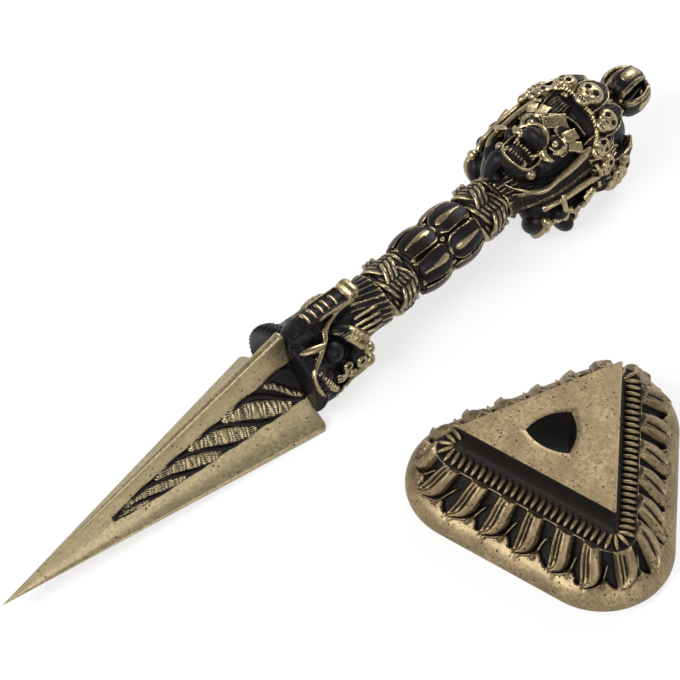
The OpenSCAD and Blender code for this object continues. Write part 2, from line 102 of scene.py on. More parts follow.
sky = bpy.data.worlds.new("pale_sky")
bpy.context.scene.world = sky
sky.use_nodes = True
tree = sky.node_tree
tree.nodes.clear()
up = add(tree, "ShaderNodeSeparateXYZ", {0: add(tree, "ShaderNodeTexCoord").outputs["Generated"]}).outputs[2]
shade = add(tree, "ShaderNodeMapRange", {"Value": up, "From Min": 0.05, "From Max": 0.9,
                                         "To Min": 0.95, "To Max": 0.22}).outputs[0]
glow = add(tree, "ShaderNodeBackground", {"Color": (1, 1, 1, 1), "Strength": shade}).outputs[0]
add(tree, "ShaderNodeOutputWorld", {"Surface": glow})


def soft_box(name, place, target, width, height, power):
    lamp = bpy.data.lights.new(name, "AREA")
    lamp.shape, lamp.size, lamp.size_y, lamp.energy = "RECTANGLE", width, height, power
    box = put_in_scene(name, lamp)
    box.location = place
    box.rotation_mode = "QUATERNION"
    box.rotation_quaternion = (Vector(target) - Vector(place)).to_track_quat("-Z", "Y")


soft_box("left_soft_box", (-0.75, 0.25, 0.75), (0, 0.03, 0), 0.7, 0.5, 11)
soft_box("right_soft_box", (0.75, 0.30, 0.60), (0, 0.03, 0), 0.5, 0.5, 6)
soft_box("front_lamp", (-0.2, -0.9, 0.5), (0, 0.03, 0), 0.5, 0.3, 3)

# The camera looks down at 53 degrees from the stand's side, along the photograph's line of sight.
elevation, heading, distance = 53.16, 45.26, 0.9
focal_px, picture_px = 4852.4, 680
aim = Vector((-0.0035, 0.0510, 0))
flat = math.cos(math.radians(elevation))
look = Vector((flat * math.cos(math.radians(heading)), flat * math.sin(math.radians(heading)),
               -math.sin(math.radians(elevation))))
camera = put_in_scene("camera", bpy.data.cameras.new("camera"))
camera.data.sensor_width = 36
camera.data.lens = focal_px / picture_px * camera.data.sensor_width
camera.data.clip_start, camera.data.clip_end = 0.05, 20
camera.location = aim - look * distance
camera.rotation_mode = "QUATERNION"
camera.rotation_quaternion = look.to_track_quat("-Z", "Y")
bpy.context.scene.camera = camera
bpy.context.scene.view_settings.view_transform = "Standard"

# --- Lotus stand ---------------------------------------------------------------------------
# A thick casting in antique brass: a plain rim, seven lotus petals in each third, a milled border
# and a flat plateau with the blade's socket. Sizes are in millimetres from its middle.
stand_h, plateau_h, border_drop = 17.8, 6, 0.7
petals_a_third, ribs_a_side = 7, 27
socket_r, socket_off, recess_h, stand_turn = 5.2, 1.8, 3, 11.3
border_z = stand_h - plateau_h


def ease(low, high, value):
    """Rises smoothly from 0 at low to 1 at high."""
    t = np.clip((np.asarray(value, float) - low) / (high - low), 0, 1)
    return t * t * (3 - 2 * t)


def along(points, count):
    """Evenly spaced points on a smooth curve through the given ones."""
    points = np.asarray(points, float)
    padded = np.vstack([2 * points[0] - points[1], points, 2 * points[-1] - points[-2]])
    t = np.linspace(0, len(points) - 1, count)
    i = np.minimum(t.astype(int), len(points) - 2)
    f = (t - i)[:, None]
    a, b, c, d = (padded[i + k] for k in range(4))
    return b + 0.5 * f * (c - a + f * (2 * a - 5 * b + 4 * c - d + f * (3 * (b - c) + d - a)))


def triangle_outline(in_r, corner_r, shares):
    """Middle of the arc and outward direction at each share of the way round a rounded triangle."""
    off = 2 * (corner_r - in_r)
    r = corner_r - off
    half_side, half_arc = off * math.sin(math.pi / 3), r * math.pi / 3
    turn_no = np.floor(shares * 3)
    share = shares * 3 - turn_no
    near = np.where(share > 0.5, share - 1, share)
    middle = (turn_no + (share > 0.5)) * 2 * math.pi / 3
    run = 2 * (half_arc + half_side)
    far = np.maximum(0, np.abs(near) * run - half_arc)
    turn = middle + np.minimum(math.pi / 3, np.abs(near) * run / r) * np.sign(near)
    out = np.stack([np.cos(turn), np.sin(turn)], 1)
    side = np.stack([-np.sin(turn), np.cos(turn)], 1) * (np.sign(near) * far)[:, None]
    return off * np.stack([np.cos(middle), np.sin(middle)], 1) + side + r * out, out


def grid_faces(rows, columns, closed_rows=False):
    """Faces of a grid whose columns close on themselves."""
    last = rows if closed_rows else rows - 1
    i, k = np.meshgrid(np.arange(last), np.arange(columns), indexing="ij")
    below, right = (i + 1) % rows, (k + 1) % columns
    return np.stack([i * columns + k, i * columns + right, below * columns + right,
                     below * columns + k], -1).reshape(-1, 4)


def make_piece(name, shells, material):
    """One object from closed shells, each a set of points in millimetres, its faces and its tone."""
    points = np.vstack([shell[0] for shell in shells]) * 0.001
    starts = np.cumsum([0] + [len(shell[0]) for shell in shells])
    faces = [tuple(start + k for k in face) for shell, start in zip(shells, starts)
             for face in np.asarray(shell[1], dtype=object).tolist()]
    mesh = bpy.data.meshes.new(name)
    mesh.from_pydata(points.tolist(), [], faces)
    mesh.polygons.foreach_set("use_smooth", [True] * len(mesh.polygons))
    mesh.materials.append(material)
    mark_tone(mesh, np.concatenate([np.broadcast_to(shell[2], len(shell[0])) for shell in shells]))
    return put_in_scene(name, mesh)


def mark_tone(mesh, tone):
    """Stores how bright the metal is kept at each point, which read_relief() adds to."""
    proud = mesh.attributes.get("proud") or mesh.attributes.new("proud", "FLOAT", "POINT")
    proud.data.foreach_set("value", np.ascontiguousarray(tone, float))


def read_points(mesh):
    """The places of a mesh's points, in metres, and the outward direction at each."""
    at, out = np.empty(len(mesh.vertices) * 3), np.empty(len(mesh.vertices) * 3)
    mesh.vertices.foreach_get("co", at)
    mesh.vertex_normals.foreach_get("vector", out)
    return at.reshape(-1, 3), out.reshape(-1, 3)


def read_relief(mesh, tone, fine, broad):
    """Stores on each point its tone plus how proud it stands of the metal round it, from -1 to 1.

    The mesh is smoothed step by step. What a few steps take away is fine relief, what all the
    steps take away is broad relief, each against its own height in millimetres."""
    at, out = read_points(mesh)
    at, count = at * 1000, len(at)
    steps, first_look = 80, 5
    edge = np.empty(len(mesh.edges) * 2, int)
    mesh.edges.foreach_get("vertices", edge)
    a, b = edge.reshape(-1, 2).T
    links = np.maximum(np.bincount(a, minlength=count) + np.bincount(b, minlength=count), 1)
    soft, heights = at.copy(), []
    for step in range(steps):
        soft = np.stack([np.bincount(a, soft[b, k], count) + np.bincount(b, soft[a, k], count)
                         for k in range(3)], 1) / links[:, None]
        if step in (first_look, steps - 1):
            heights.append(((at - soft) * out).sum(1))
    proud = np.tanh(heights[0] / fine) * 0.5 + np.tanh(heights[1] / broad) * 0.5
    mark_tone(mesh, np.clip(proud + tone, -1, 1))


def antique_brass(name, brass, dull, patina, low, high, pit_size, pit_share, shine, grain=0.5):
    """Cast brass: patina where the metal lies low, rubbed bright where it stands proud, pinholes."""
    material, tree = bare_material(name)
    place = add(tree, "ShaderNodeTexCoord").outputs["Object"]
    proud = add(tree, "ShaderNodeAttribute", attribute_name="proud").outputs["Fac"]

    def cloud(scale, detail, rough=0.55):
        return add(tree, "ShaderNodeTexNoise", {"Vector": place, "Scale": scale, "Detail": detail,
                                                "Roughness": rough}).outputs["Fac"]

    def between(value, a, b, to_a=0.0, to_b=1.0):
        return add(tree, "ShaderNodeMapRange", {"Value": value, "From Min": a, "From Max": b,
                   "To Min": to_a, "To Max": to_b}, interpolation_type="SMOOTHSTEP").outputs[0]

    def blend(share, first, second):
        return add(tree, "ShaderNodeMix", {0: share, 6: first, 7: second},
                   data_type="RGBA").outputs[2]

    def swing(cloudy, strength):
        return times(tree, compute(tree, "SUBTRACT", cloudy, 0.5), strength)

    blotch, speck, hairs = cloud(240, 4), cloud(1500, 5, 0.65), cloud(5200, 3)
    worn = compute(tree, "ADD", proud, swing(blotch, 0.35))
    worn = compute(tree, "ADD", worn, swing(speck, 0.7))
    rubbed = between(worn, low, high)
    cells = add(tree, "ShaderNodeTexVoronoi", {"Vector": place, "Scale": 1000 / (pit_size * 6),
                                               "Randomness": 1.0})
    holes = times(tree, between(cells.outputs["Distance"], 0.18, 0.28, 1, 0),
                    between(add(tree, "ShaderNodeSeparateColor", {0: cells.outputs["Color"]}).outputs[0],
                            pit_share - 0.05, pit_share + 0.05, 1, 0))
    holes = times(tree, holes, between(cloud(330, 2), 0.36, 0.52))
    metal = blend(between(blotch, 0.35, 0.68), dull + (1,), brass + (1,))
    metal = blend(between(speck, 0.28, 0.72), tuple(c * 0.72 for c in dull) + (1,), metal)
    colour = blend(rubbed, patina + (1,), metal)
    colour = blend(times(tree, holes, 0.9), colour, tuple(c * 0.7 for c in patina) + (1,))
    rough = compute(tree, "ADD", between(rubbed, 0, 1, shine + 0.1, shine),
                    swing(speck, 0.35), clamped=True)
    height = compute(tree, "SUBTRACT", times(tree, speck, grain * 0.6),
                     times(tree, holes, 1.2))
    height = compute(tree, "ADD", height, times(tree, hairs, grain * 0.25))
    bump = add(tree, "ShaderNodeBump", {"Height": height, "Distance": 0.00012, "Strength": 0.8}).outputs[0]
    skin = add(tree, "ShaderNodeBsdfPrincipled", {
        "Base Color": colour, "Metallic": between(rubbed, 0, 1, 0.45, 1.0), "Roughness": rough,
        "Specular IOR Level": 0.2, "Normal": bump}).outputs[0]
    add(tree, "ShaderNodeOutputMaterial", {"Surface": skin})
    return material


stand_brass = antique_brass("stand_antique_brass", (0.41, 0.31, 0.178), (0.255, 0.192, 0.110),
                            (0.010, 0.008, 0.007), -0.30, 0.25, pit_size=0.12, pit_share=0.45, shine=0.46)

columns = 36 * 3 * petals_a_third
shares = np.arange(columns) / columns

# Outside, from the base's edge up to the plateau: [inner radius, corner radius, height].
rim = along([(19.4, 26.9, 0), (20.4, 27.9, 0.02), (20.9, 28.4, 0.5), (20.95, 28.45, 1.3), (20.65, 28.2, 2.3),
             (20.1, 27.7, 3.2), (19.5, 27.2, 3.9)], 14)
petal_foot = along([(19.0, 26.75, 4.3), (17.9, 25.8, 5.4), (16.5, 24.65, 7.1),
                    (15.5, 24.0, 8.5), (14.5, 23.4, 9.8), (13.6, 22.95, 10.75)], 72)
skirt = np.vstack([rim, petal_foot])
band = np.array([(13.5, 22.9, 10.75), (13.42, 22.8, 10.85), (13.3, 22.7, 10.88), (13.1, 22.5, 10.8),
                 (11.8, 21.3, 11.0), (10.7, 20.3, 11.2), (10.5, 20.1, 11.5), (10.35, 19.97, 11.72)])
wall = along([(10.15, 19.8, 11.8), (9.6, 19.0, 12.1), (9.15, 18.2, 13.2), (9.05, 18.0, 14.6),
              (9.3, 18.5, 16.2), (9.6, 19.0, 17.2)], 10)
edge = np.array([(9.7, 19.12, 17.5), (9.69, 19.08, 17.7), (9.6, 18.95, 17.8), (9.45, 18.6, 17.8)])
inside = np.array([(12.0, 20.6, recess_h), (18.3, 25.4, recess_h),
                   (18.7, 26.2, recess_h - 0.3), (18.8, 26.3, 0.2)])


def ring(in_r, corner_r, z):
    place, _ = triangle_outline(in_r, corner_r, shares)
    return np.column_stack([place, np.full(columns, z)])


outer = np.array([ring(*row) for row in np.vstack([skirt, band, wall, edge])])
socket_axis = socket_off * np.array([math.cos(2 * math.pi / 3), math.sin(2 * math.pi / 3)])
angle = np.arctan2(*(outer[-1, :, :2] - socket_axis).T[::-1])
span = socket_r * 2 * math.sin(math.pi / 3)
socket_edge = np.min([socket_r * np.cos(angle - k * 2 * math.pi / 3)
                      + np.sqrt(span ** 2 - (socket_r * np.sin(angle - k * 2 * math.pi / 3)) ** 2)
                      for k in range(3)], 0)


def socket_ring(grown, z):
    r = socket_edge + grown
    return np.column_stack([r * np.cos(angle) + socket_axis[0], r * np.sin(angle) + socket_axis[1],
                            np.full(columns, z)])


lip = socket_ring(0.12, stand_h)
top_rows = np.array([outer[-1] * (1 - t) + lip * t for t in np.linspace(0.06, 1, 8)])
hole = np.array([socket_ring(0.03, stand_h - 0.05), socket_ring(0, stand_h - 0.2)]
                + [socket_ring(0, z) for z in np.linspace(stand_h - 1, recess_h + 0.3, 4)]
                + [socket_ring(0.3, recess_h)])
under = np.array([ring(*row) for row in inside])

# The petals, seen along the way round: a thin leaf, a spoon, a broad ridge that curves back to its
# toe, then a deep hollow with the tip of a hidden leaf in it. down is 0 at the border, 1 at the toes.
# at grows by 2 over each petal and starts over at low_side.
rows = len(skirt)
down = np.concatenate([1 + 0.035 * np.arange(len(rim), 0, -1), np.linspace(1, 0, len(petal_foot))])[:, None]
petal_no = np.floor(shares * 3 * petals_a_third + 0.5)
uneven = np.sin(petal_no * 2.4 + 1) * 0.05
at = (((shares * 3 * petals_a_third + 0.5) % 1 - 0.5) * 2 + uneven)[None, :]
low_side = -0.64
far_side = 0.54 - 1.14 * np.clip((down - 0.5) / 0.5, 0, 1) ** 2.6
at = np.where(at < low_side, at + 2, at)


def line(place, wide):
    return ease(wide, 0, np.abs(place))


petal = (ease(low_side, low_side + 0.12, at) * ease(far_side + 0.07, far_side - 0.07, at)
         * ease(1.02, 0.92, down))
t = (at - low_side) / np.maximum(far_side - low_side, 0.08)
spoon = line(t - 0.44, 0.17) * ease(0.06, 0.2, down) * ease(0.85, 0.62, down)
slot = line(t - 0.25, 0.1) * ease(0.0, 0.1, down) * ease(0.95, 0.8, down)
body = 0.6 + 0.4 * ease(0.42, 0.62, t) - 0.34 * spoon + 0.25 * line(t - 0.13, 0.12) - 0.4 * slot
body = body * (0.2 + 0.8 * np.clip(1 - (2 * t - 1) ** 2, 0, 1) ** (0.35 + 0.5 * ease(0.4, 0, down)))
tall = (1.15 + 0.4 * ease(0, 0.45, down)) * (1 + 0.12 * np.sin(petal_no * 1.7))
end = 0.80 + 0.19 * ease(0.75, 1.15, at)
dip = (ease(far_side - 0.03, far_side + 0.12, at) * ease(low_side + 2, low_side + 1.86, at)
           * ease(0, 0.08, down) * ease(end, end - 0.1, down))
toe_line = line(at - far_side - 0.1, 0.12) * ease(0.5, 0.68, down) * ease(1.04, 0.95, down)
tip = line(at - 1.02 + 0.5 * ease(0.3, 0.95, down), 0.13) * ease(0.32, 0.6, down) * ease(0.97, 0.88, down)
fold = line(at - 0.66 + 0.1 * down, 0.08) * ease(0.15, 0.3, down) * ease(0.75, 0.6, down)
lip_line = line(at - far_side - 0.29, 0.14) * ease(0.65, 0.85, down) * ease(1.08, 1.0, down)
lift = (petal * body * tall - 1.15 * dip - 0.36 * toe_line + 1.0 * tip + 0.25 * fold + 0.3 * lip_line)
lift = lift * ease(0, 0.05, down)
step = np.gradient(outer[:rows], axis=0)
side = np.roll(outer[:rows], -1, 1) - np.roll(outer[:rows], 1, 1)
out = np.cross(side, step)
out /= np.linalg.norm(out, axis=2, keepdims=True) + 1e-9
wander = 0.10 * np.sin(shares * 2 * math.pi * 5 + 0.6) + 0.07 * np.sin(shares * 2 * math.pi * 13 + 2)
outer[:rows] += out * (lift + wander * ease(1.4, 0.9, down) * ease(0, 0.2, down))[:, :, None]

stand_rows = np.vstack([outer, top_rows, hole, under])
proud = np.zeros(stand_rows.shape[:2])
# The last term is painted light: it paints the broad-ridge half of every petal lighter, a painted highlight
# for the flank that faces the light, so the other flank reads as painted shade.
proud[:rows] = (0.32 - 1.3 * dip * (1 - 0.9 * tip) - 0.3 * spoon * petal - 0.42 * slot * petal - 0.5 * toe_line
                + 0.25 * petal * ease(0.5, 0.7, t))
groove_tone, border_tone, plateau_tone, hidden_tone = -1.9, -0.75, 0.42, -3.0
first = rows
proud[first:first + 3] = groove_tone
proud[first + 3:first + 7] = border_tone
first += len(band)
proud[first:first + len(wall)] = np.linspace(-0.3, -0.8, len(wall))[:, None]
proud[first + len(wall):] = plateau_tone
proud[-len(hole) - len(under):] = hidden_tone
c, s = math.cos(math.radians(stand_turn)), math.sin(math.radians(stand_turn))
spin = np.array([[c, s, 0], [-s, c, 0], [0, 0, 1]])
stand_points = (stand_rows.reshape(-1, 3) - (*socket_axis, 0)) @ spin
stand = make_piece("lotus_stand",
                   [(stand_points, grid_faces(len(stand_rows), columns, True), proud.ravel())], stand_brass)
read_relief(stand.data, proud.ravel(), fine=0.14, broad=0.55)
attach(stand, "stand")
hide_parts("stand")

# --- Milled border of the stand ------------------------------------------------------------
# Ribs cut across the sloping border round the plateau, part of the same casting. They are rubbed
# bright by handling, and the patina stays between them.
border_mid_in, border_mid_corner, border_wide = 11.85, 21.35, 3.1
rib_long, rib_wide, rib_tall, rib_sunk = 3.4, 0.84, 1.05, 0.45


def new_tree(name, sizes):
    """A geometry tree with one named input for each size. Returns the tree and its inputs."""
    tree = bpy.data.node_groups.new(name, "GeometryNodeTree")
    tree.interface.new_socket("Geometry", in_out="INPUT", socket_type="NodeSocketGeometry")
    for label, value in sizes.items():
        kind = "NodeSocketInt" if isinstance(value, int) else "NodeSocketFloat"
        tree.interface.new_socket(label, in_out="INPUT", socket_type=kind)
    tree.interface.new_socket("Geometry", in_out="OUTPUT", socket_type="NodeSocketGeometry")
    return tree, add(tree, "NodeGroupInput").outputs


def plain_mesh(thing):
    """A new mesh of the object as its modifiers leave it."""
    bpy.context.view_layer.update()
    return bpy.data.meshes.new_from_object(thing.evaluated_get(bpy.context.evaluated_depsgraph_get()))


def grow(name, tree, geometry, sizes, start, material):
    """Ends a tree, runs it on the starting object and returns the result as a plain mesh object."""
    real = add(tree, "GeometryNodeRealizeInstances", {0: geometry}).outputs[0]
    dressed = add(tree, "GeometryNodeSetMaterial", {"Geometry": real, "Material": material}).outputs[0]
    add(tree, "NodeGroupOutput", {0: dressed})
    bpy.context.scene.collection.objects.link(start)
    modifier = start.modifiers.new(name, "NODES")
    modifier.node_group = tree
    for socket in tree.interface.items_tree:
        if socket.in_out == "INPUT" and socket.name in sizes:
            modifier[socket.identifier] = sizes[socket.name]
    mesh = plain_mesh(start)
    start.modifiers.remove(modifier)
    bpy.data.objects.remove(start)
    mesh.name = name
    return put_in_scene(name, mesh)


def ball(place, radii, tone, sides=16):
    """A closed oval lump."""
    tilt = np.linspace(0, math.pi, sides // 2 + 1)[1:-1]
    turns = np.linspace(0, 2 * math.pi, sides, endpoint=False)
    body = np.array([[math.sin(t) * math.cos(a), math.sin(t) * math.sin(a), math.cos(t)]
                     for t in tilt for a in turns])
    points = np.vstack([body, [(0, 0, 1), (0, 0, -1)]]) * radii
    faces = [tuple(f) for f in grid_faces(len(tilt), sides)[:, ::-1]]
    top, bottom = len(body), len(body) + 1
    faces += [(top, k, (k + 1) % sides) for k in range(sides)]
    last = (len(tilt) - 1) * sides
    faces += [(bottom, last + (k + 1) % sides, last + k) for k in range(sides)]
    return points + place, faces, tone


ribs_in_all = 3 * ribs_a_side
places, outward = triangle_outline(border_mid_in, border_mid_corner,
                                   (np.arange(ribs_in_all) + 0.5) / ribs_in_all)
slope = math.atan(border_drop / border_wide)
c, s = math.cos(slope), math.sin(slope)
rib_points, rib_faces, rib_tone = ball((0, 0, 0), (rib_long / 2, rib_wide / 2, rib_tall / 2), 0.6, 10)
rib_points = rib_points @ np.array([(c, 0, -s), (0, 1, 0), (s, 0, c)])
rib = make_piece("border_rib", [(rib_points, rib_faces, rib_tone)], stand_brass)
spots = bpy.data.meshes.new("rib_spots")
spots.from_pydata([(x * 0.001, y * 0.001, (border_z - rib_sunk) * 0.001)
                   for x, y in (places - socket_axis) @ spin[:2, :2]], [], [])
facing = spots.attributes.new("facing", "FLOAT_VECTOR", "POINT")
facing.data.foreach_set("vector", np.column_stack([outward @ spin[:2, :2], np.zeros(ribs_in_all)]).ravel())
rib_sizes = {"Rib scale": 1.0}
tree, sizes_in = new_tree("milled_border", rib_sizes)
turn_to = add(tree, "FunctionNodeAlignRotationToVector", {"Vector": add(
    tree, "GeometryNodeInputNamedAttribute", {"Name": "facing"}, data_type="FLOAT_VECTOR").outputs[0]},
    axis="X", pivot_axis="Z").outputs[0]
rib_part = add(tree, "GeometryNodeObjectInfo", {"Object": rib}).outputs["Geometry"]
set_out = add(tree, "GeometryNodeInstanceOnPoints", {"Points": sizes_in["Geometry"], "Instance": rib_part,
              "Rotation": turn_to, "Scale": sizes_in["Rib scale"]}).outputs[0]
border = grow("milled_border", tree, set_out, rib_sizes, bpy.data.objects.new("rib_row", spots), stand_brass)
bpy.data.objects.remove(rib)
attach(border, "stand")

# --- Where the dagger lies -----------------------------------------------------------------
# It lies along the line between the ends of the frame's own rod, with one edge of the blade on top.
# Its pieces are made upright, point down, in millimetres from the point; lay() puts them in place.
blade_len, rod_foot, rod_head = 70, 62, 159.8
rod_points = np.array([v.co[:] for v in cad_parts["tie_rod"].data.vertices]) * 1000
near_end = 0.3
low_end = rod_points[rod_points[:, 0] < rod_points[:, 0].min() + near_end].mean(0)
high_end = rod_points[rod_points[:, 0] > rod_points[:, 0].max() - near_end].mean(0)
rod_len = np.linalg.norm(high_end - low_end)
along_axis = (high_end - low_end) / rod_len
up_axis = np.cross(along_axis, (0, 1, 0))
up_axis = up_axis * np.sign(up_axis[2]) / np.linalg.norm(up_axis)
point_at = low_end - along_axis * rod_foot * rod_len / (rod_head - rod_foot)
upright = np.array([up_axis, (0, -1, 0), along_axis])


def lay(mesh):
    """Turns a mesh made upright onto the table, in place."""
    at, _ = read_points(mesh)
    mesh.vertices.foreach_set("co", (at @ upright + point_at * 0.001).ravel())
    mesh.update()


def polar(reach, across, z, azimuth):
    """Points given by their reach out from the axis, place across it and height, turned round it."""
    a, reach, across, z = np.broadcast_arrays(np.radians(azimuth), np.asarray(reach, float), across, z)
    return np.stack([reach * np.cos(a) - across * np.sin(a), reach * np.sin(a) + across * np.cos(a), z], -1)


# --- Blade ---------------------------------------------------------------------------------
# Cast brass, three edges round hollow faces, ground and wiped bright, with fine casting pits. Down
# each hollow runs a pair of twisted serpents: scaled bodies between smooth cords, dark with patina.
blade_reach, edge_land, hollow_depth, shoulder_round = 12.8, 0.8, 4.3, 1.2
serpent_start, serpent_pitch, serpent_spread = 27, 16.5, 3.8
half_pitch = serpent_pitch / 2
blade_brass = antique_brass("blade_wiped_brass", (0.56, 0.45, 0.25), (0.44, 0.36, 0.22),
                            (0.016, 0.013, 0.014), -0.55, 0.05, pit_size=0.14, pit_share=0.2, shine=0.36)


def edge_reach(z):
    """How far an edge lies from the axis; it is rounded over at the shoulder."""
    over = np.clip(shoulder_round ** 2 - (z - blade_len + shoulder_round) ** 2, 0, None)
    return np.where(z > blade_len - shoulder_round, blade_reach - (shoulder_round - np.sqrt(over)),
                    blade_reach * (z / blade_len))


def hollow(z, y):
    """Height of a face's hollow above the axis, and the place of its edge."""
    share = z / blade_len
    reach = edge_reach(z)
    land = edge_land * share
    side_y = reach * math.sin(math.pi / 3) - land * 0.5
    side_x = reach * 0.5 + land * math.sin(math.pi / 3)
    t = np.clip(np.abs(y) / side_y, 0, 1)
    curve = t ** 1.9 * 0.93 + 0.07 * np.clip((t - 0.72) / 0.28, 0, 1)
    return hollow_depth * share * (1 - curve) + side_x * curve, side_y


def spread_at(z):
    return serpent_spread * np.clip((z - serpent_start) / (blade_len - serpent_start), 0.0, 1) ** 0.55


rows_z = np.concatenate([[0.25, 0.7, 1.5, 3, 5, 8, 12, 16, 20, 24], np.linspace(25, blade_len - 1.3, 250),
                         blade_len - shoulder_round * (1 - np.sin(np.radians(np.arange(0, 90, 18)))),
                         [blade_len]])
across_share = np.concatenate([-1 + 0.5 * np.linspace(0, 1, 12)[:-1], np.linspace(-0.5, 0.5, 64),
                               1 - 0.5 * np.linspace(1, 0, 12)[1:]])
z = rows_z[:, None]
_, side_y = hollow(z, 0.0)
y = across_share[None, :] * side_y
floor, _ = hollow(z, y)
tone = 0.55 - 0.55 * ease(3.4, 1.0, np.abs(y) - spread_at(z) + 1) * (z > serpent_start - 4)
tone = tone - 0.15 * ease(0.55, 0.2, np.abs(across_share)[None, :]) * (z > 12)
lift = np.zeros_like(floor)
band = spread_at(z) + 0.25
in_band = (np.abs(y) < band) & (z > serpent_start)
tone = np.where(in_band, -1.0, tone)
lift = np.where(in_band, -0.25, lift)
for number in range(6):
    middle, half_long, plump = ((blade_len - 1.9 - half_pitch * number, 6.9, 0.66) if number
                                else (blade_len - 3.6, 3.4, 0.34))
    s = (z - middle) / half_long
    wide = spread_at(np.clip(z, serpent_start + 0.5, None))
    path_y = wide * 0.80 * np.sin(np.clip(s, -1, 1) * math.pi / 2)
    girth = np.maximum(0.05, wide * plump * np.clip(1 - np.abs(s) ** 2.2, 0, 1) ** 0.5)
    body = np.clip(1 - ((y - path_y) / girth) ** 2, 0, 1) * (np.abs(s) < 1) * (z > serpent_start)
    slant = (y - path_y) * 2.3
    wavy = z + 0.35 * np.sin(z * 1.9 + 2.3 * number + y)
    hatch = (np.sin((wavy - 0.55 * slant) * 2 * math.pi / 1.25)
             * np.sin((z * 0.45 + slant * 0.9 + 0.3 * np.sin(2.7 * z)) * 2 * math.pi / 1.7))
    raised = np.sqrt(body) * (0.75 + 0.22 * np.clip(hatch, -1, 1))
    lift = np.maximum(lift, raised * 0.95 - 0.2)
    tone = np.where(body > 0.04, np.where(hatch > -0.25, 0.35, -0.75) - 0.5 * (body < 0.25), tone)
ring_points, ring_tones = [], []
for k in range(3):
    middle = 60 + 120 * k
    face_points = polar(floor + lift, y, np.broadcast_to(z, y.shape), middle)
    crest_reach = edge_reach(rows_z) + 0.6 * edge_land * rows_z / blade_len
    crest = polar(crest_reach, 0, rows_z, middle + 60)[:, None, :]
    ring_points += [face_points, crest]
    ring_tones += [tone, np.full((len(rows_z), 1), 0.8)]
ring_points = np.concatenate(ring_points, 1)
ring_tones = np.concatenate(ring_tones, 1)
columns = ring_points.shape[1]
blade_faces = [tuple(f) for f in grid_faces(len(rows_z), columns)]
blade_faces += [tuple(range(columns))[::-1], tuple(range((len(rows_z) - 1) * columns, len(rows_z) * columns))]


def rope(path, widths, heights, outward, tone, sides=10):
    """A closed oval bar swept along a path, with its own width and height at each point."""
    path = np.asarray(path, float)
    count = len(path)
    heading = np.gradient(path, axis=0)
    heading /= np.linalg.norm(heading, axis=1, keepdims=True) + 1e-9
    outward = np.broadcast_to(np.asarray(outward, float), path.shape)
    side = np.cross(heading, outward)
    side /= np.linalg.norm(side, axis=1, keepdims=True) + 1e-9
    up = np.cross(side, heading)
    a = np.linspace(0, 2 * math.pi, sides, endpoint=False)
    widths, heights = np.broadcast_to(widths, count), np.broadcast_to(heights, count)
    rings = (path[:, None, :] + np.cos(a)[None, :, None] * side[:, None, :] * widths[:, None, None]
             + np.sin(a)[None, :, None] * up[:, None, :] * heights[:, None, None])
    points = np.vstack([rings.reshape(-1, 3), path[0] - heading[0] * heights[0] * 0.5,
                        path[-1] + heading[-1] * heights[-1] * 0.5])
    faces = [tuple(f) for f in grid_faces(count, sides)]
    first, last = count * sides, count * sides + 1
    faces += [(first, (k + 1) % sides, k) for k in range(sides)]
    start = (count - 1) * sides
    faces += [(last, start + k, start + (k + 1) % sides) for k in range(sides)]
    return points, faces, tone


cords = []
for k in range(3):
    outward = polar(1, 0, 0, 60 + 120 * k)
    for number in range(-1, 6):
        middle = blade_len - 1.9 - half_pitch * (number + 0.5)
        s = np.linspace(-1.45, 1.45, 34)
        z = middle + s * 5.9
        keep = (z > serpent_start - 1) & (z < blade_len - 0.4)
        if keep.sum() < 5:
            continue
        z, s = z[keep], s[keep]
        swing = spread_at(np.clip(z, serpent_start + 0.3, None)) * 1.02
        y = np.where(np.abs(s) > 1, np.sign(s) * swing, swing * np.sin(np.clip(s, -1.12, 1.12) * math.pi / 2))
        x = hollow(z, y)[0] + 0.22
        down = (z - serpent_start) / (blade_len - serpent_start)
        thick = (0.26 + 0.2 * down) * np.sqrt(np.clip(1.08 - (s / 1.5) ** 4, 0.05, 1))
        cords.append(rope(polar(x, y, z, 60 + 120 * k), thick, thick, outward, -0.8, 8))
tenon_r, tenon_h, tenon_sides = 3.6, 4, 24
tenon_ring = np.array([polar(tenon_r, 0, height, a) for height in (blade_len - 1, blade_len + tenon_h)
                       for a in np.arange(0, 360, 360 / tenon_sides)])
tenon_ends = [tuple(range(tenon_sides))[::-1], tuple(range(tenon_sides, 2 * tenon_sides))]
tenon = (tenon_ring, [tuple(f) for f in grid_faces(2, tenon_sides)] + tenon_ends, -0.5)
blade_shells = [(ring_points.reshape(-1, 3), blade_faces, ring_tones.ravel())] + cords + [tenon]
blade = make_piece("blade_casting", blade_shells, blade_brass)
lay(blade.data)
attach(blade, "dagger")
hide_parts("blade")

# --- Steel rod -----------------------------------------------------------------------------
# A plain turned steel rod inside the hilt, screwed into the blade and the finial, which holds the
# castings together. It is the CAD model's own, with fine turning marks.
rod_steel, tree = bare_material("rod_turned_steel")
place = add(tree, "ShaderNodeTexCoord").outputs["Object"]
marks = add(tree, "ShaderNodeTexWave", {"Vector": place, "Scale": 900.0, "Distortion": 1.5, "Detail": 2.0},
            bands_direction="X").outputs["Fac"]
steel_colour = add(tree, "ShaderNodeMix", {0: marks, 6: (0.34, 0.34, 0.35, 1), 7: (0.56, 0.56, 0.57, 1)},
                   data_type="RGBA").outputs[2]
steel_bump = add(tree, "ShaderNodeBump", {"Height": marks, "Distance": 0.00002}).outputs[0]
skin = add(tree, "ShaderNodeBsdfPrincipled", {"Base Color": steel_colour, "Metallic": 1.0, "Roughness": 0.32,
                                              "Normal": steel_bump}).outputs[0]
add(tree, "ShaderNodeOutputMaterial", {"Surface": skin})
rod_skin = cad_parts["tie_rod"].data.materials
rod_skin.clear()
rod_skin.append(rod_steel)

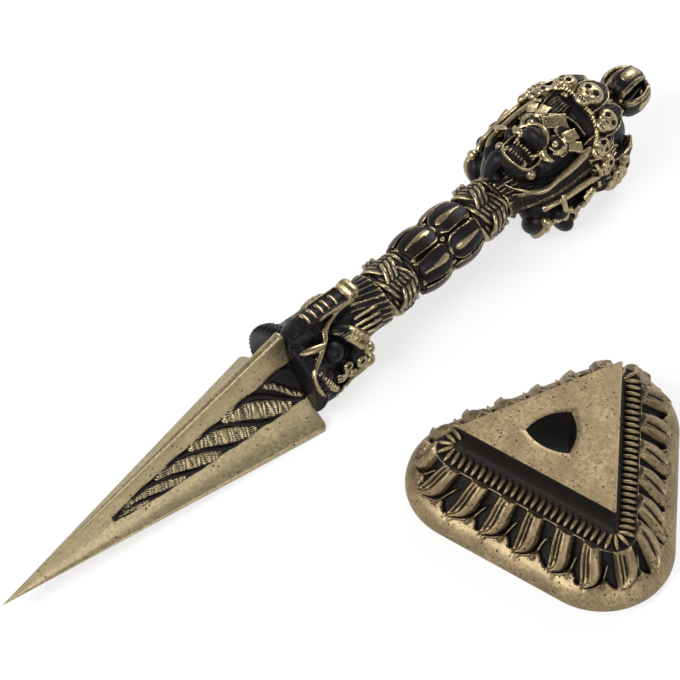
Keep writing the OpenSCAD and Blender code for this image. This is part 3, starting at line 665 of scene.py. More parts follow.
# --- Guard with three makara heads ---------------------------------------------------------
# One casting between the blade and the lower knot. Each makara, a river beast, holds an edge of
# the blade in its jaws and rolls up its ribbed trunk; nearly black, and rubbed on the ridges.
hilt_brass = antique_brass("hilt_dark_brass", (0.53, 0.425, 0.235), (0.36, 0.285, 0.17),
                           (0.010, 0.0085, 0.009), 0.05, 0.50, pit_size=0.14, pit_share=0.1, grain=0.6,
                           shine=0.30)
guard_z, guard_len = blade_len, 24
most_triangles = 190000
outwards = (1, 0, 0)


# Castings are made of closed shells that overlap: their points, their faces and a tone, which is -1
# for black metal in a recess and 1 for metal that is rubbed bright.
def turned(profile, sides, tone):
    """A closed solid turned round the axis from [radius, height] points."""
    profile = np.asarray(profile, float)
    a = np.linspace(0, 360, sides, endpoint=False)
    points = polar(profile[:, :1], 0, profile[:, 1:], a).reshape(-1, 3)
    last = (len(profile) - 1) * sides
    ends = [tuple(range(sides))[::-1], tuple(range(last, last + sides))]
    return points, [tuple(f) for f in grid_faces(len(profile), sides)] + ends, tone


def bar(stops, count, wide, thick, tone, sides=6, outward=outwards):
    """An oval bar along a smooth curve through the given points."""
    return rope(along(stops, count), wide, thick, outward, tone, sides)


def ring_path(stops, count):
    """A smooth path through stops given as [reach, azimuth, height]."""
    return np.array([polar(r, 0, h, a) for r, a, h in along(stops, count)])


def ring_bar(stops, count, wide, thick, tone, sides=6, outward=outwards):
    """An oval bar through stops given as [reach, azimuth, height]."""
    return rope(ring_path(stops, count), wide, thick, outward, tone, sides)


def balls(*rows):
    """Lumps, each from its place, radii, tone and number of sides."""
    return [ball(*row) for row in rows]


def out_at(azimuth):
    """The direction away from the axis at an azimuth."""
    return polar(1, 0, 0, azimuth)


def spun(shells, angles):
    """Copies of shells made at azimuth 0, turned to each of the given angles."""
    copies = []
    for a in np.radians(angles):
        turn = np.array([[math.cos(a), math.sin(a), 0], [-math.sin(a), math.cos(a), 0], [0, 0, 1]])
        copies += [(points @ turn, faces, tone) for points, faces, tone in shells]
    return copies


def mirrored(shells):
    """The shells and their mirror images on the other side of the middle."""
    return shells + [(points * (1, -1, 1), [tuple(f)[::-1] for f in faces], tone)
                     for points, faces, tone in shells]


def raised(shells, height):
    """The shells, moved up the axis."""
    return [(points + (0, 0, height), faces, tone) for points, faces, tone in shells]


def cast(name, shells, grain, node, dents=(), fine=0.10, broad=0.42):
    """Melts overlapping shells into one skin, presses in the dents, lays it down and fits it.

    grain is the size of the melt's cells in millimetres. Each dent is a centre, a radius, a depth
    and a tone. A heavy mesh is thinned. The casting takes the place of one node of the frame."""
    wax = make_piece(name, shells, hilt_brass)
    melt = wax.modifiers.new("melt", "REMESH")
    melt.mode, melt.voxel_size = "VOXEL", grain * 0.001
    mesh = plain_mesh(wax)
    corners = [Vector(c) * 0.001 for shell in shells for c in shell[0].tolist()]
    starts = np.cumsum([0] + [len(shell[0]) for shell in shells])
    skins = [tuple(start + k for k in face) for shell, start in zip(shells, starts) for face in shell[1]]
    face_tone = np.concatenate([np.full(len(shell[1]), np.mean(shell[2])) for shell in shells])
    nearest = BVHTree.FromPolygons(corners, skins)
    at, out = read_points(mesh)
    tone = np.array([face_tone[nearest.find_nearest(Vector(c))[2]] for c in at])
    for centre, radius, depth, dark in dents:
        away = np.linalg.norm(at * 1000 - centre, axis=1) / radius
        bowl = np.clip(1 - away ** 2, 0, 1)
        at = at - out * (bowl * depth * 0.001)[:, None]
        tone = np.where(away < 0.95, dark, tone)
    mesh.vertices.foreach_set("co", at.ravel())
    mesh.update()
    read_relief(mesh, tone, fine, broad)
    lay(mesh)
    mesh.polygons.foreach_set("use_smooth", [True] * len(mesh.polygons))
    bpy.data.objects.remove(wax)
    piece = put_in_scene(name, mesh)
    if 2 * len(at) > most_triangles:
        thin = piece.modifiers.new("thin", "DECIMATE")
        thin.ratio = most_triangles / (2 * len(at))
        piece.data = plain_mesh(piece)
        piece.modifiers.remove(thin)
    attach(piece, "dagger")
    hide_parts(node)


core = [turned(along([(8.7, 0.02), (9.2, 0.4), (9.3, 1.2), (9.2, 2.4), (8.4, 3.6), (7.2, 6), (6.4, 10),
                      (5.5, 13), (4.6, 17), (4.2, 21), (4.0, 23.98)], 44), 90, -0.95)]
core += spun([bar([(9.2, 0, 0.3), (9.5, 0, 1.6), (8.8, 0, 3.3)], 6, 0.24, 0.24, -0.75)],
             np.arange(0, 360, 7.5))

# One makara at azimuth 0: the skull and cheeks, the trunk with its folds, and the rolled end.
makara = balls(((5.4, 0, 6.5), (4.4, 3.6, 6.2), -0.6), ((8.0, 0, 3.6), (2.9, 2.9, 3.5), -0.6, 20),
               ((9.1, 0, 2.2), (1.6, 2.2, 1.9), -0.5), ((8.6, 1.9, 4.6), (1.5, 1.2, 1.6), -0.5),
               ((8.6, -1.9, 4.6), (1.5, 1.2, 1.6), -0.5))
makara += [bar([(7.8, 0, 3), (8.0, 0, 9), (7.2, 0, 13), (6.2, 0, 16)], 12, 1.7, 2.0, -0.8, 10)]
trunk_path = along([(9.9, 0, 3.0), (10.3, 0, 5.5), (10.1, 0, 8.5), (9.5, 0, 12), (8.9, 0, 15.6)], 30)
trunk_top = (1, 0, 0.15)
makara += [rope(trunk_path, np.linspace(2.1, 1.9, 30), 0.5, trunk_top, -0.75),
           rope(trunk_path[4:] + (0.25, -0.1, 0), np.linspace(1.25, 1.1, 26), 0.5, trunk_top, -0.35, 12)]
fold_wide = [0.30, 0.5, 0.42, 0.34, 0.28, 0.24, 0.2]
fold_thick = [0.4, 0.42, 0.34, 0.3, 0.24, 0.2, 0.16]
for t in range(5):
    fold_at = trunk_path[9 + round(3.8 * t)]
    makara += [rope([fold_at + (0.62 - 0.12 * y * y, y, 0) for y in np.linspace(-1.25, 1.15, 7)],
                    fold_wide, fold_thick, outwards, 0.4, 6)]
makara += mirrored([rope(trunk_path[14:] + (0.3, 2.0, 0), 0.2, 0.5, trunk_top, 0.3, 8)])
bend = np.radians(np.arange(-110, 200, 16))
roll_girth = [0.9] + [1.15] * 7 + [0.9]
makara += [rope([(9.1, y, 17.0) for y in np.linspace(-1.9, 1.9, 9)],
                roll_girth, roll_girth, outwards, 0.55, 18),
           rope(polar(9.1 + 1.25 * np.cos(bend), 0, 17.0 + 1.25 * np.sin(bend), 0),
                np.linspace(2.2, 1.5, len(bend)), 0.42, polar(np.cos(bend), 0, np.sin(bend), 0), 0.75, 12)]

# One valley between two makaras: the lips, a tusk, an eye, a horn with its ball, teeth and curls.
lip = ring_path([(8.9, 13, 16.4), (9.0, 12, 12.6), (8.9, 19, 8.4), (9.0, 30, 6.6), (9.3, 42, 3.4),
                 (9.5, 52, 0.9), (9.4, 66, 0.5), (9.2, 80, 1.0), (8.8, 92, 2.1), (8.4, 99, 3.2)], 80)
stop = np.arange(80)
lip_wide = 0.36 + 0.28 * np.exp(-((stop - 20) / 7.0) ** 2) + 0.14 * np.exp(-((stop - 34) / 6.0) ** 2)
tusk_wide = [0.25, 0.45, 0.62, 0.7, 0.75, 0.75, 0.75, 0.7, 0.62, 0.45]
valley = [rope(lip, lip_wide, 0.5, lip * (1, 1, 0), 0.6, 10),
          ring_bar([(9.2, 24, 1.2), (9.6, 29, 3.4), (9.3, 33, 5.9)], 10, tusk_wide, 0.5, 0.65, 10,
                   out_at(29))]
valley += balls((polar(6.4, 0, 12.4, 86), (1.9, 1.9, 2.6), -0.9),
                (polar(7.0, 0, 7.4, 50), (2.2, 2.2, 2.3), -0.85, 24),
                (polar(6.6, 0, 3.9, 74), (2.2, 2.2, 1.8), -0.7))
horn_path = ring_path([(6.6, 24, 9.7), (7.4, 35, 11.0), (7.8, 49, 12.4), (7.6, 66, 13.8)], 20)
horn_girth = np.linspace(1.35, 1.85, 20)
for part, tone in ((slice(0, 11), -0.5), (slice(9, 20), 0.4)):
    valley += [rope(horn_path[part], horn_girth[part], horn_girth[part] * 0.9, out_at(48), tone, 18)]
valley += balls((polar(8.2, 0, 14.0, 78), (1.3, 1.3, 1.3), 0.5))
bend = np.radians(np.arange(-80, 90, 20))
for t in range(9):
    girth = 0.93 * horn_girth[2 + 2 * t]
    valley += [rope(horn_path[2 + 2 * t] + polar(girth * np.cos(bend), 0, girth * np.sin(bend), 45),
                    0.12, 0.16, out_at(48), 0.35 if t > 3 else -0.25, 6)]

# Three curls of the mane, then the teeth, the locks that run up the shaft and three short ones.
bend = np.radians(np.arange(0, 400, 25))
for azimuth, height, reach, girth in ((92, 12.0, 8.2, 0.95), (84, 8.9, 7.9, 0.85), (100, 9.6, 8.3, 0.7)):
    valley += [rope(polar(reach, girth * np.cos(bend), height + girth * np.sin(bend), azimuth),
                    np.linspace(0.24, 0.5, len(bend)), 0.5, out_at(azimuth), 0.35, 8)]
for t in range(9):
    azimuth = 56 + 5.2 * t
    height = 1.7 + 0.018 * (azimuth - 56) ** 1.35
    valley += [ring_bar([(8.9, azimuth, height - 0.2), (9.2, azimuth + 0.8, height + 0.45),
                         (8.7, azimuth + 0.4, height + 1.1)], 5, [0.4, 0.36, 0.28, 0.2, 0.12], 0.34, 0.4, 6,
                        out_at(azimuth))]
for t in range(4):
    valley += [ring_bar([(7.4 - 0.3 * t, 33 + 9 * t, 14.5 - 0.6 * t), (6.2, 36 + 12 * t, 17),
                         (4.9, 42 + 16 * t, 20), (4.3, 52 + 20 * t, 23)], 18, 0.34, 0.42, 0.15, 6,
                        out_at(38 + 12 * t))]
for t in range(3):
    valley += [ring_bar([(8.3, 82 + 6 * t, 5.8), (8.6, 86 + 5 * t, 7.0), (8.2, 92 + 4 * t, 8.6)], 10,
                        0.26, 0.3, 0.3, 6, out_at(88))]

# The makara on the stand's side, low down, is slimmer than the others. The valley on the far side,
# which the photograph doesn't show, is drawn in.
snug = [(points * (0.8, 0.8, 1), faces, np.mean(tone) - 0.4) for points, faces, tone in valley]
slim = [(points * 0.86, faces, tone) for points, faces, tone in makara]
guard_shells = (core + spun(makara, (0, 240)) + spun(slim, (120,)) + spun(valley, (0, 120))
                + spun(snug, (240,)))
for first, thick, tone in ((0, 0.27, 0.1), (7, 0.2, -0.35)):
    strand = bar([(4.5, 0, 14), (4.75, 0.7 + 0.03 * first, 17), (4.4, 1.8, 20), (4.15, 3.0, 23.4)], 14,
                 thick, 0.32, tone)
    guard_shells += spun([strand], np.arange(first, 360, 15))
nostrils = [(polar(10.3, y, guard_z + 2.6, 120 * k), 0.55, 0.5, -1.0) for k in range(3) for y in (-0.9, 0.9)]
roll_holes = [(polar(9.9, 0.3, guard_z + 18.1, 120 * k), 0.6, 0.6, -1.0) for k in range(3)]
cast("guard_casting", raised(guard_shells, guard_z), 0.165, "makara_guard", nostrils + roll_holes)

# --- Knots above and below the grip --------------------------------------------------------
# Two castings in the form of an endless plait, each of its straps three cords wide. Every cord is
# one closed path round the hilt that dips under and rises over the others. The tree works in metres.
knot_len, cord_apart, grip_len = 7.6, 0.00106, 15.8
lower_knot_z = guard_z + guard_len
grip_z = lower_knot_z + knot_len
upper_knot_z = grip_z + grip_len
knot_sizes = {"Radius": 0.0051, "Half height": 0.0022, "Weave": 0.0006, "Cord radius": 0.00047,
              "Roundness": -0.0011, "Leads": 4, "Bights": 5, "Points": 720}
tree, sizes_in = new_tree("plaited_knot", knot_sizes)
circle = "GeometryNodeCurvePrimitiveCircle"
line = add(tree, circle, {"Resolution": sizes_in["Points"], "Radius": 1.0}).outputs[0]
section = add(tree, circle, {"Resolution": 8, "Radius": sizes_in["Cord radius"]}).outputs[0]
number = add(tree, "GeometryNodeInputIndex").outputs[0]
turn = times(tree, compute(tree, "DIVIDE", number, sizes_in["Points"]),
             times(tree, sizes_in["Leads"], 2 * math.pi))
phase = compute(tree, "DIVIDE", times(tree, turn, sizes_in["Bights"]), sizes_in["Leads"])
wave = compute(tree, "SINE", phase)
dip = times(tree, compute(tree, "COSINE", times(tree, phase, 3.0)), sizes_in["Weave"])
reach = compute(tree, "ADD", compute(tree, "SUBTRACT", sizes_in["Radius"], dip),
                times(tree, times(tree, wave, wave), sizes_in["Roundness"]))
here = {0: times(tree, reach, compute(tree, "COSINE", turn)),
        1: times(tree, reach, compute(tree, "SINE", turn))}
joined = add(tree, "GeometryNodeJoinGeometry")
for shift in (-cord_apart, 0, cord_apart):
    here[2] = compute(tree, "ADD", times(tree, wave, sizes_in["Half height"]), shift)
    placed = add(tree, "GeometryNodeSetPosition", {
        "Geometry": line, "Position": add(tree, "ShaderNodeCombineXYZ", here).outputs[0]}).outputs[0]
    cord = add(tree, "GeometryNodeCurveToMesh", {"Curve": placed, "Profile Curve": section}).outputs[0]
    tree.links.new(cord, joined.inputs[0])
knot_start = bpy.data.objects.new("knot_start", bpy.data.meshes.new("knot_start"))
knot_cords = grow("knot_cords", tree, joined.outputs[0], knot_sizes, knot_start, hilt_brass)
plait = np.array([v.co[:] for v in knot_cords.data.vertices]) * 1000
plait_faces = [tuple(p.vertices) for p in knot_cords.data.polygons]
bpy.data.objects.remove(knot_cords)
for name, knot_z, sag in (("lower_knot", lower_knot_z, -0.4), ("upper_knot", upper_knot_z, 0.0)):
    shells = [turned([(3.5, 0.02), (3.9, 0.6), (4.45, 2.2), (4.6, 3.8), (4.45, 5.4), (3.9, 7.0), (3.5, 7.58)],
                     60, -0.95), (plait + (0, 0, knot_len / 2 + sag), plait_faces, -0.1)]
    shells += [rope(polar(3.9, 0, z, np.arange(0, 361, 8)), 0.4, 0.3, (0, 0, 1), -0.3, 8) for z in (0.4, 7.2)]
    cast(name + "_casting", raised(shells, knot_z), 0.115, name, fine=0.07, broad=0.3)

# --- Lotus grip ----------------------------------------------------------------------------
# Cast brass between the knots: two tiers of six broad petals that meet point to point at the
# waist, each with a raised midrib and fine rims, and a row of claws next to each knot.
waist_z = grip_z + grip_len / 2
petal_turns = -6 + 60 * np.arange(6)
rise = np.linspace(0, 1, 17)
swell = 4.3 + 1.2 * np.sin(np.pi * np.clip(rise * 0.80 + 0.10, 0, 1)) ** 0.7
wide = np.interp(rise, (0, 0.2, 0.55, 0.8, 0.93, 1), (2.1, 2.45, 2.8, 2.75, 2.0, 0.7))
midrib_wide = np.interp(np.linspace(0, 1, 14), (0, 0.25, 0.8, 0.94, 1), (0.2, 0.36, 0.86, 0.72, 0.3))
petals, claws = [], []
for tier in (-1, 1):
    height = waist_z + tier * (7.4 - 7.2 * rise)
    petals += [rope(polar(swell, 0, height, 0), wide, 0.62, outwards, -0.75, 16),
               rope(polar(swell + 0.5, 0, height, 0)[1:15], midrib_wide, 0.32, outwards, 0.75, 8)]
    for way in (-1, 1):
        aslant = (1, way * 0.3, 0)
        flank = polar(swell + 0.36, way * wide * 0.60, height, 0)
        rim = polar(swell + 0.02, way * wide * 0.96, height, 0)
        petals += [rope(flank[1:15], 0.17, 0.2, aslant, -0.6, 6), rope(rim[:10], 0.15, 0.2, aslant, -0.35, 6),
                   rope(rim[9:], 0.17, 0.26, aslant, 0.45, 6)]
    claws += [ball(polar(4.55, 0, waist_z + tier * 7.0, azimuth + a), (0.36, 0.36, 0.75), 0.25, 8)
              for azimuth in petal_turns for a in (-25, -13, 0, 13, 25)]
grip_core = turned([(4.1, 0.02), (4.4, 0.8), (4.8, 3), (4.9, grip_len / 2), (4.8, grip_len - 3),
                    (4.4, grip_len - 0.8), (4.1, grip_len - 0.02)], 72, -1.0)
crossings = spun(balls(((5.2, 0, waist_z), (0.42, 0.95, 0.36), 0.6, 10)), petal_turns)
crossings += spun(balls(((5.0, 0, waist_z), (0.4, 0.5, 0.7), -0.1, 10)), petal_turns + 30)
cast("lotus_grip", raised([grip_core], grip_z) + spun(petals, petal_turns) + claws + crossings, 0.125, "grip",
     fine=0.08, broad=0.32)

# --- Head with three wrathful faces --------------------------------------------------------
# One casting: three faces back to back, each with a fanged mouth, bulging eyes and flaming brows,
# under a ribbed hood that arches over the brow. The recesses are black, lips and brows shine.
head_z, head_len, head_turn = upper_knot_z + knot_len, 18.6, 9
face_turns = head_turn + 120 * np.arange(3)
flesh = balls(((4.4, 0, 137.2), (5.9, 6.5, 8.4), -0.85, 28), ((6.4, 0, 131.7), (3.7, 4.3, 3.5), -0.8, 28),
              ((6.6, 0, 139.6), (3.8, 5.6, 4.2), -0.85, 24), ((9.0, 0, 130.7), (1.4, 3.5, 2.75), -1.0, 24),
              ((8.5, 0, 129.3), (2.2, 3.4, 2.2), -0.9, 24))
features = [bar([(10.7, 0, 133.7), (10.3, -2.4, 133.6), (9.9, -3.5, 132.9), (9.9, -3.6, 131.0),
                 (10.1, -3.2, 129.1), (10.5, -1.9, 128.3), (10.7, 0, 128.0), (10.6, 1.7, 128.2),
                 (10.2, 3.0, 129.0), (9.9, 3.5, 130.6), (10.0, 3.3, 132.6), (10.4, 2.2, 133.5),
                 (10.7, 0, 133.7)], 80, 0.2, 0.5, 0.85, 8),
            bar([(10.2, -3.3, 133.9), (10.8, -1.6, 134.2), (11.0, 0.4, 134.2), (10.6, 2.3, 133.9)], 20,
                [0.2] + [0.34] * 18 + [0.2], 0.5, 0.5, 8)]
for row_z, slope in ((132.2, -1), (129.8, 1)):
    features += [ball((10.5 - 0.06 * y * y, y, row_z + 0.05 * slope * y * y), (0.42, 0.23, 0.55), 0.1, 8)
                 for y in np.linspace(-2.5, 2.4, 8)]
    features += [ball((10.55, y, row_z - 0.45 * slope), (0.55, 0.42, 0.85), 0.85, 10) for y in (-2.5, 2.3)]
crest = along([(9.9, -4.2, 134.2), (10.7, -3.5, 135.7), (11.9, -1.9, 136.7), (12.6, -0.3, 136.7),
               (12.6, 1.0, 136.3), (12.3, 2.0, 135.3), (11.8, 2.5, 134.1)], 34)
crest_wide = np.interp(np.linspace(0, 1, 34), (0, 0.15, 0.4, 0.75, 1), (0.3, 0.5, 0.42, 0.62, 0.3))
features += balls(((11.2, 0, 134.5), (2.75, 2.9, 1.7), -1.0, 28),
                  ((10.6, 0, 136.4), (1.7, 1.6, 1.9), -0.7, 20),
                  ((9.9, -3.9, 135.2), (0.8, 0.75, 0.75), 0.5, 12),
                  ((9.5, -4.7, 134.3), (0.7, 0.7, 0.6), 0.4, 12))
features += [rope(crest, crest_wide, 0.42, crest - (8, 0, 133.4), 0.8, 8)]

# Half a face: an eye in its lids, the cheek, the jaw and a fold beside the nose.
half_face = balls(((10.1, 3.1, 136.8), (1.3, 1.8, 1.65), -1.0, 24),
                  ((11.2, 3.1, 136.5), (0.55, 0.7, 0.75), 0.85, 12),
                  ((9.3, 4.4, 132.9), (1.3, 1.3, 1.5), -0.7), ((9.0, 3.9, 129.6), (1.2, 1.1, 1.0), -0.2))
for grown, start, end, wide, tone in ((2.0, -70, 150, 0.24, 0.85), (1.45, 60, 290, 0.16, 0.35),
                                      (2.5, -30, 110, 0.24, -0.5)):
    bend = np.radians(np.linspace(start, end, 22))
    half_face += [rope(polar(10.9 - 0.1 * grown * grown, 3.1 + grown * np.sin(bend),
                             136.8 + grown * 0.95 * np.cos(bend), 0), wide, 0.36, (1, 0.15, 0), tone, 8)]
half_face += [bar([(10.9, 2.3, 134.4), (10.9, 3.1, 133.7), (10.4, 4.1, 133.6), (9.6, 4.9, 134.4)], 14,
                  [0.2, 0.4] + [0.66] * 10 + [0.45, 0.25], 0.6, 0.75, 10, (1, 0.3, 0))]


def plate(foot, tip, wide, tone):
    """A flat brow plate from its foot to its tip, with square ends."""
    foot, tip = np.array(foot), np.array(tip)
    side = np.cross(tip - foot, (1, 0.2, 0))
    side *= wide / np.linalg.norm(side)
    out = np.cross(side, tip - foot)
    out *= 0.5 / np.linalg.norm(out)
    corners = [end + across * side * share + up * out for end, share in ((foot, 0.8), (tip, 1.0))
               for across, up in ((-1, -1), (1, -1), (1, 1), (-1, 1))]
    sides = [(k, k + 4, (k + 1) % 4 + 4, (k + 1) % 4) for k in range(4)]
    return np.array(corners), [(0, 1, 2, 3), (7, 6, 5, 4)] + sides, tone


# Flaming brows: flat plates that fan out above each eye, their edges nearly touching.
half_face += [plate((10.7, 3.2, 138.9), (10.2, 3.9, 141.7), 1.12, 0.6),
              plate((10.1, 4.9, 138.5), (9.3, 6.3, 140.8), 1.08, 0.6)]
features += [plate((11.2, -1.7, 138.1), (11.0, 1.0, 141.9), 1.45, 0.4),
             plate((10.9, 1.4, 138.4), (10.6, 2.3, 141.3), 0.95, -0.3),
             bar([(11.0, -3.4, 139.2), (11.4, -1.6, 140.8), (11.2, 0.2, 142.3), (10.6, 2.6, 143.0),
                  (9.9, 5.0, 142.9)], 24, 0.17, 0.4, 0.6)]

# The hood's edge beside the face, wide above and thin below, and the hair that falls behind it.
side_edge = ring_path([(10.6, 41, 142.6), (10.5, 44, 140.2), (10.4, 46, 137.0), (10.1, 47, 133.5),
                       (9.6, 48.5, 130.6), (8.2, 42, 128.4), (6.0, 28, 126.9), (4.9, 12, 126.4)], 44)
side_wide = np.interp(np.linspace(0, 1, 44), (0, 0.1, 0.3, 0.5, 0.62, 0.8, 1),
                      (0.4, 0.95, 0.8, 0.55, 0.7, 0.25, 0.15))
half_face += [rope(side_edge[:29], side_wide[:29], 0.6, side_edge[:29] * (1, 1, 0), 0.6, 10)]
edge_end = [rope(side_edge[26:], side_wide[26:], 0.6, side_edge[26:] * (1, 1, 0), 0.6, 10)]
fall = rope(side_edge[22:] * (0.9, 0.9, 1), 1.2, 1.3, side_edge[22:] * (1, 1, 0), -0.9, 12)
edge_end += mirrored([fall])[1:]
for t in range(6):
    half_face += [ring_bar([(9.4 - 0.15 * t, 50 + 2.6 * t, 143.0), (9.2 - 0.15 * t, 50 + 2.6 * t, 137.5),
                            (8.6 - 0.1 * t, 51 + 2.3 * t, 132.5), (6.6 - 0.1 * t, 47 + 3 * t, 128.6),
                            (4.6, 38 + 5 * t, 126.4), (4.3, 30 + 7 * t, 125.1)], 26, 0.3, 0.42,
                           0.05 if t % 2 else -0.35, 6, out_at(52))]
features += mirrored(half_face)

# The lump of the forehead under the hood's ribbed rim.
dome = balls(((8.6, -2.3, 143.5), (2.7, 2.7, 2.5), -0.75, 24))
dome += [bar([(10.9, -4.2 + 0.7 * t, 142.2), (11.3, -3.9 + 0.62 * t, 143.6), (10.7, -3.5 + 0.5 * t, 145.0)], 8,
             0.1, 0.2, -0.35) for t in range(6)]
hood_line = ring_path([(9.6, 46, 141.8), (10.2, 41, 144.0), (10.6, 27, 145.8), (10.9, 8, 146.6),
                       (10.9, -14, 147.0), (10.5, -32, 146.9), (10.0, -44, 145.0), (9.6, -50, 142.2)], 76)
dome += [rope(hood_line, 0.25, 1.1, hood_line * (1, 1, 0), 0.4, 10)]
dome += [rope([p * (1.05, 1.05, 1) - (0, 0, 0.5), p * (1.08, 1.08, 1) + (0, 0, 0.1),
               p * (1.02, 1.02, 1) + (0, 0, 0.9)],
              0.17, 0.34, p * (1, 1, 0), 0.55, 6) for p in hood_line[4:72:2]]
locks = [ring_bar([(8.6, 0, 143), (8.3, 0, 137.5), (7.6, 0, 132.5), (5.4, 2, 128.4), (4.4, 6, 125.4)], 20,
                  0.34, 0.5, -0.2)]
lock_bars = [ring_bar([(10.3, -24, 133.4), (10.9, -14, 133.0), (11.0, -2, 133.2)], 10,
                      [0.3, 0.5] + [0.62] * 6 + [0.5, 0.3], 0.5, 0.6, 8)]
beard = [bar([(9.0, -1.6, 130.2), (7.9, -2.3, 128.3), (6.3, -2.4, 126.4), (4.9, -1.8, 124.9)], 14,
             np.interp(np.linspace(0, 1, 14), (0, 0.35, 1), (1.2, 2.0, 0.8)),
             np.interp(np.linspace(0, 1, 14), (0, 0.35, 1), (1.0, 1.5, 0.7)), -0.55, 16, (1, -0.4, -0.4))]
neck = turned([(4.1, 0.02), (4.4, 1.5), (4.8, 3.4), (6.4, 5.4), (7.2, 9), (7.2, 15), (6.6, head_len - 0.02)],
              60, -0.9)
nape = [ring_bar([(4.15, 0, 125.1), (4.6, 4, 127), (5.0, 10, 128.6)], 8, 0.26, 0.34, -0.1)]
head_shells = raised([neck], head_z) + spun(flesh + features + dome, face_turns)
head_shells += spun(beard, [head_turn - 6]) + spun(edge_end, [head_turn])
head_shells += spun(locks, [middle + 60 + a for middle in face_turns for a in (-13, -6.5, 0, 6.5, 13)])
head_shells += spun(lock_bars, face_turns + 90) + spun(nape, np.arange(0, 360, 12))
cast("head_casting", head_shells, 0.155, "head", fine=0.09, broad=0.4)

# --- Skull crown ---------------------------------------------------------------------------
# A casting on top of the head: over each face five skulls, each in front of a flame-shaped leaf,
# and strings of beads between them. The skulls are the brightest part of the hilt.
crown_z, crown_h, skull_lean = head_z + head_len, 10.8, math.radians(12)


def skull(reach, z, azimuth, big):
    """A flat-faced skull that looks outwards and down, and the dents of its eyes, nose and teeth."""
    shells = balls(((0, 0, 0.5), (1.35, 2.25, 2.0), 0.75, 20), ((0.1, 0, -1.1), (1.15, 1.5, 1.9), 0.7),
                   ((0.35, 1.15, -0.7), (0.8, 0.75, 0.7), 0.7, 12),
                   ((0.35, -1.15, -0.7), (0.8, 0.75, 0.7), 0.7, 12))
    holes = [((1.2, 0.95, 0.35), 0.62), ((1.2, -0.95, 0.35), 0.62), ((1.2, 0.2, -0.8), 0.25),
             ((1.2, -0.2, -0.8), 0.25)]
    holes += [((0.9, y, -2.25), 0.22) for y in (-0.75, -0.25, 0.25, 0.75)]
    c, s = math.cos(skull_lean), math.sin(skull_lean)
    bow = np.array([[c, 0, s], [0, 1, 0], [-s, 0, c]])
    shells = [(points @ bow * big + (reach, 0, z), faces, tone) for points, faces, tone in shells]
    dents = []
    for place, radius in holes:
        x, y, up = np.array(place) @ bow * big + (reach, 0, z)
        dents.append((polar(x, y, up, azimuth), radius * big, 0.5, -1.0))
    return spun(shells, [azimuth]), dents


crown_dents = []
crown_core = turned([(6.0, 0.02), (7.6, 0.8), (8.3, 4), (7.9, 8), (6.8, 10.2), (5.7, 10.75)], 72, -0.9)
crown_shells = raised([crown_core], crown_z)
lobe = balls(((6.6, 0, crown_z + 3), (4.0, 6.6, 4.6), -0.85, 24))
ridges = [bar([(8.0, y, crown_z + 6), (7.5, y * 0.9, crown_z + 9), (6.2, y * 0.8, crown_z + 10.4)], 8,
              0.36, 0.4, -0.1) for y in np.arange(-6, 6.1, 1.2)]
ties = [bar([(9.6, -1.6 + 0.8 * t, 144.6), (10.2, -1.7 + 0.85 * t, 146.6), (9.8, -1.8 + 0.9 * t, 148)], 8,
            0.2, 0.34, 0.1) for t in range(5)]
for middle in face_turns:
    crown_shells += spun(lobe + ridges, [middle]) + spun(ties, [middle + 60])
    for turn, z, reach, big in ((0, 148.9, 11.4, 1.18), (30, 148.3, 11.0, 1.0), (-30, 148.3, 11.0, 1.0),
                                (48, 144.7, 10.6, 0.92), (-48, 144.7, 10.6, 0.92)):
        shells, dents = skull(reach, z, middle + turn, big)
        crown_shells += shells
        crown_dents += dents
        leaf_path = along([(reach - 2.0, 0, z - 2.6), (reach - 0.9, 0, z), (reach - 1.3, 0, z + 2.8),
                           (reach - 2.3, 0, z + 4.9)], 14)
        leaf_wide = 3.0 * big * np.sin(np.linspace(0.6, math.pi * 0.985, 14)) ** 0.8
        leaf = [rope(leaf_path, leaf_wide, 0.6, outwards, -0.7, 12)]
        for way in (-1, 1):
            rim = leaf_path + polar(0.42, way * leaf_wide * 0.9, 0, 0)
            leaf += [rope(rim, 0.17, 0.26, outwards, 0.35, 6)]
            for f in (0.2, 0.55):
                vein = leaf_path + polar(0.62, way * leaf_wide * f, 0, 0)
                leaf += [rope(vein[5:], 0.13, 0.2, outwards, -0.25, 6)]
        beads = [ball((reach + 0.2, y, z - 2.6), (0.5, 0.5, 0.5), 0.1, 8) for y in (2.4, 3.2)]
        crown_shells += spun(leaf + beads, [middle + turn])
cast("crown_casting", crown_shells, 0.16, "skull_crown", crown_dents, fine=0.09)

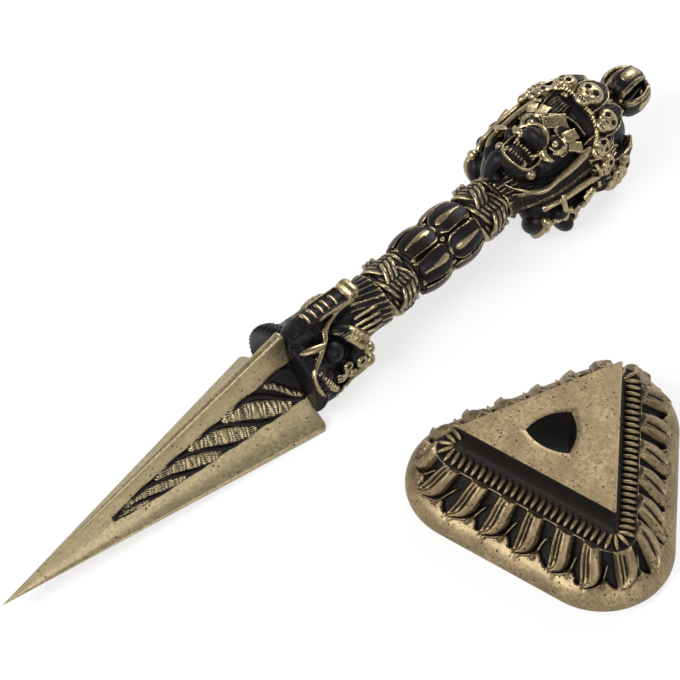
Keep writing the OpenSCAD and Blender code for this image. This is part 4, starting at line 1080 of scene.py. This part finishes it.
# --- Topknot -------------------------------------------------------------------------------
# The hair of the three heads drawn up through the crown in twisted locks and bound by a ring of
# beads under the finial; one small dark casting.
topknot_z, topknot_h = crown_z + crown_h - 3.4, 5.6
topknot_shells = [turned([(5.3, 0.02), (5.2, 1), (4.4, 3), (3.0, 4.6), (2.7, 5.58)], 60, -0.8)]
lock = bar([(5.05, 0, 0.2), (4.9, 0.7, 1.6), (4.1, 1.1, 3.2), (2.9, 1.2, 4.4)], 16, 0.42, 0.42, 0.1, 8,
           (1, 0, 0.6))
topknot_shells += spun([lock], np.arange(0, 360, 20))
topknot_shells += spun(balls(((2.95, 0, 4.9), (0.38, 0.38, 0.42), 0.35, 8)), np.arange(0, 360, 24))
cast("hair_topknot", raised(topknot_shells, topknot_z), 0.12, "topknot", fine=0.07, broad=0.3)

# --- Finial --------------------------------------------------------------------------------
# Half a thunderbolt, cast and screwed onto the rod's top: four broad prongs spring from a lotus
# and close over a fifth. The bends are rubbed bright and the hollows between are black.
prong_path = along([(1.4, 0, 0.9), (3.3, 0, 1.6), (4.05, 0, 3.6), (3.9, 0, 5.6), (2.9, 0, 7.3),
                    (1.3, 0, 8.2)], 28)
prong_out = np.gradient(prong_path, axis=0)[:, [2, 1, 0]] * (1, 1, -1)
prong_wide = np.interp(np.linspace(0, 1, 28), (0, 0.3, 0.7, 1), (2.1, 2.5, 2.2, 1.2))
prong = [rope(prong_path, prong_wide, 0.8, prong_out, -0.15, 14),
         rope(prong_path[10:22] + (0.45, 0, 0.1), [0.9] + [1.25] * 10 + [0.9], 0.5, prong_out[10:22], 0.55,
              10)]
edge_path = prong_path[2:24] + prong_out[2:24] * 0.9 + (0, 1.7, 0)
prong += mirrored([rope(edge_path, 0.22, 0.26, prong_out[2:24], 0.1, 6)])
finial_shells = [turned([(2.6, 0.02), (2.9, 0.7), (2.4, 1.3), (1.8, 2.2), (2.1, 4), (1.5, 7), (0.9, 9.15)],
                        40, -0.7)]
finial_shells += spun(prong, 4 + 90 * np.arange(4))
finial_shells += spun(balls(((2.7, 0, 1.0), (0.7, 0.75, 0.8), 0.1, 8)), np.arange(0, 360, 45))
finial_shells += balls(((0, 0, 8.2), (1.7, 1.7, 0.95), 0.3))
cast("thunderbolt_finial", raised(finial_shells, topknot_z + topknot_h), 0.12, "finial", fine=0.07, broad=0.3)
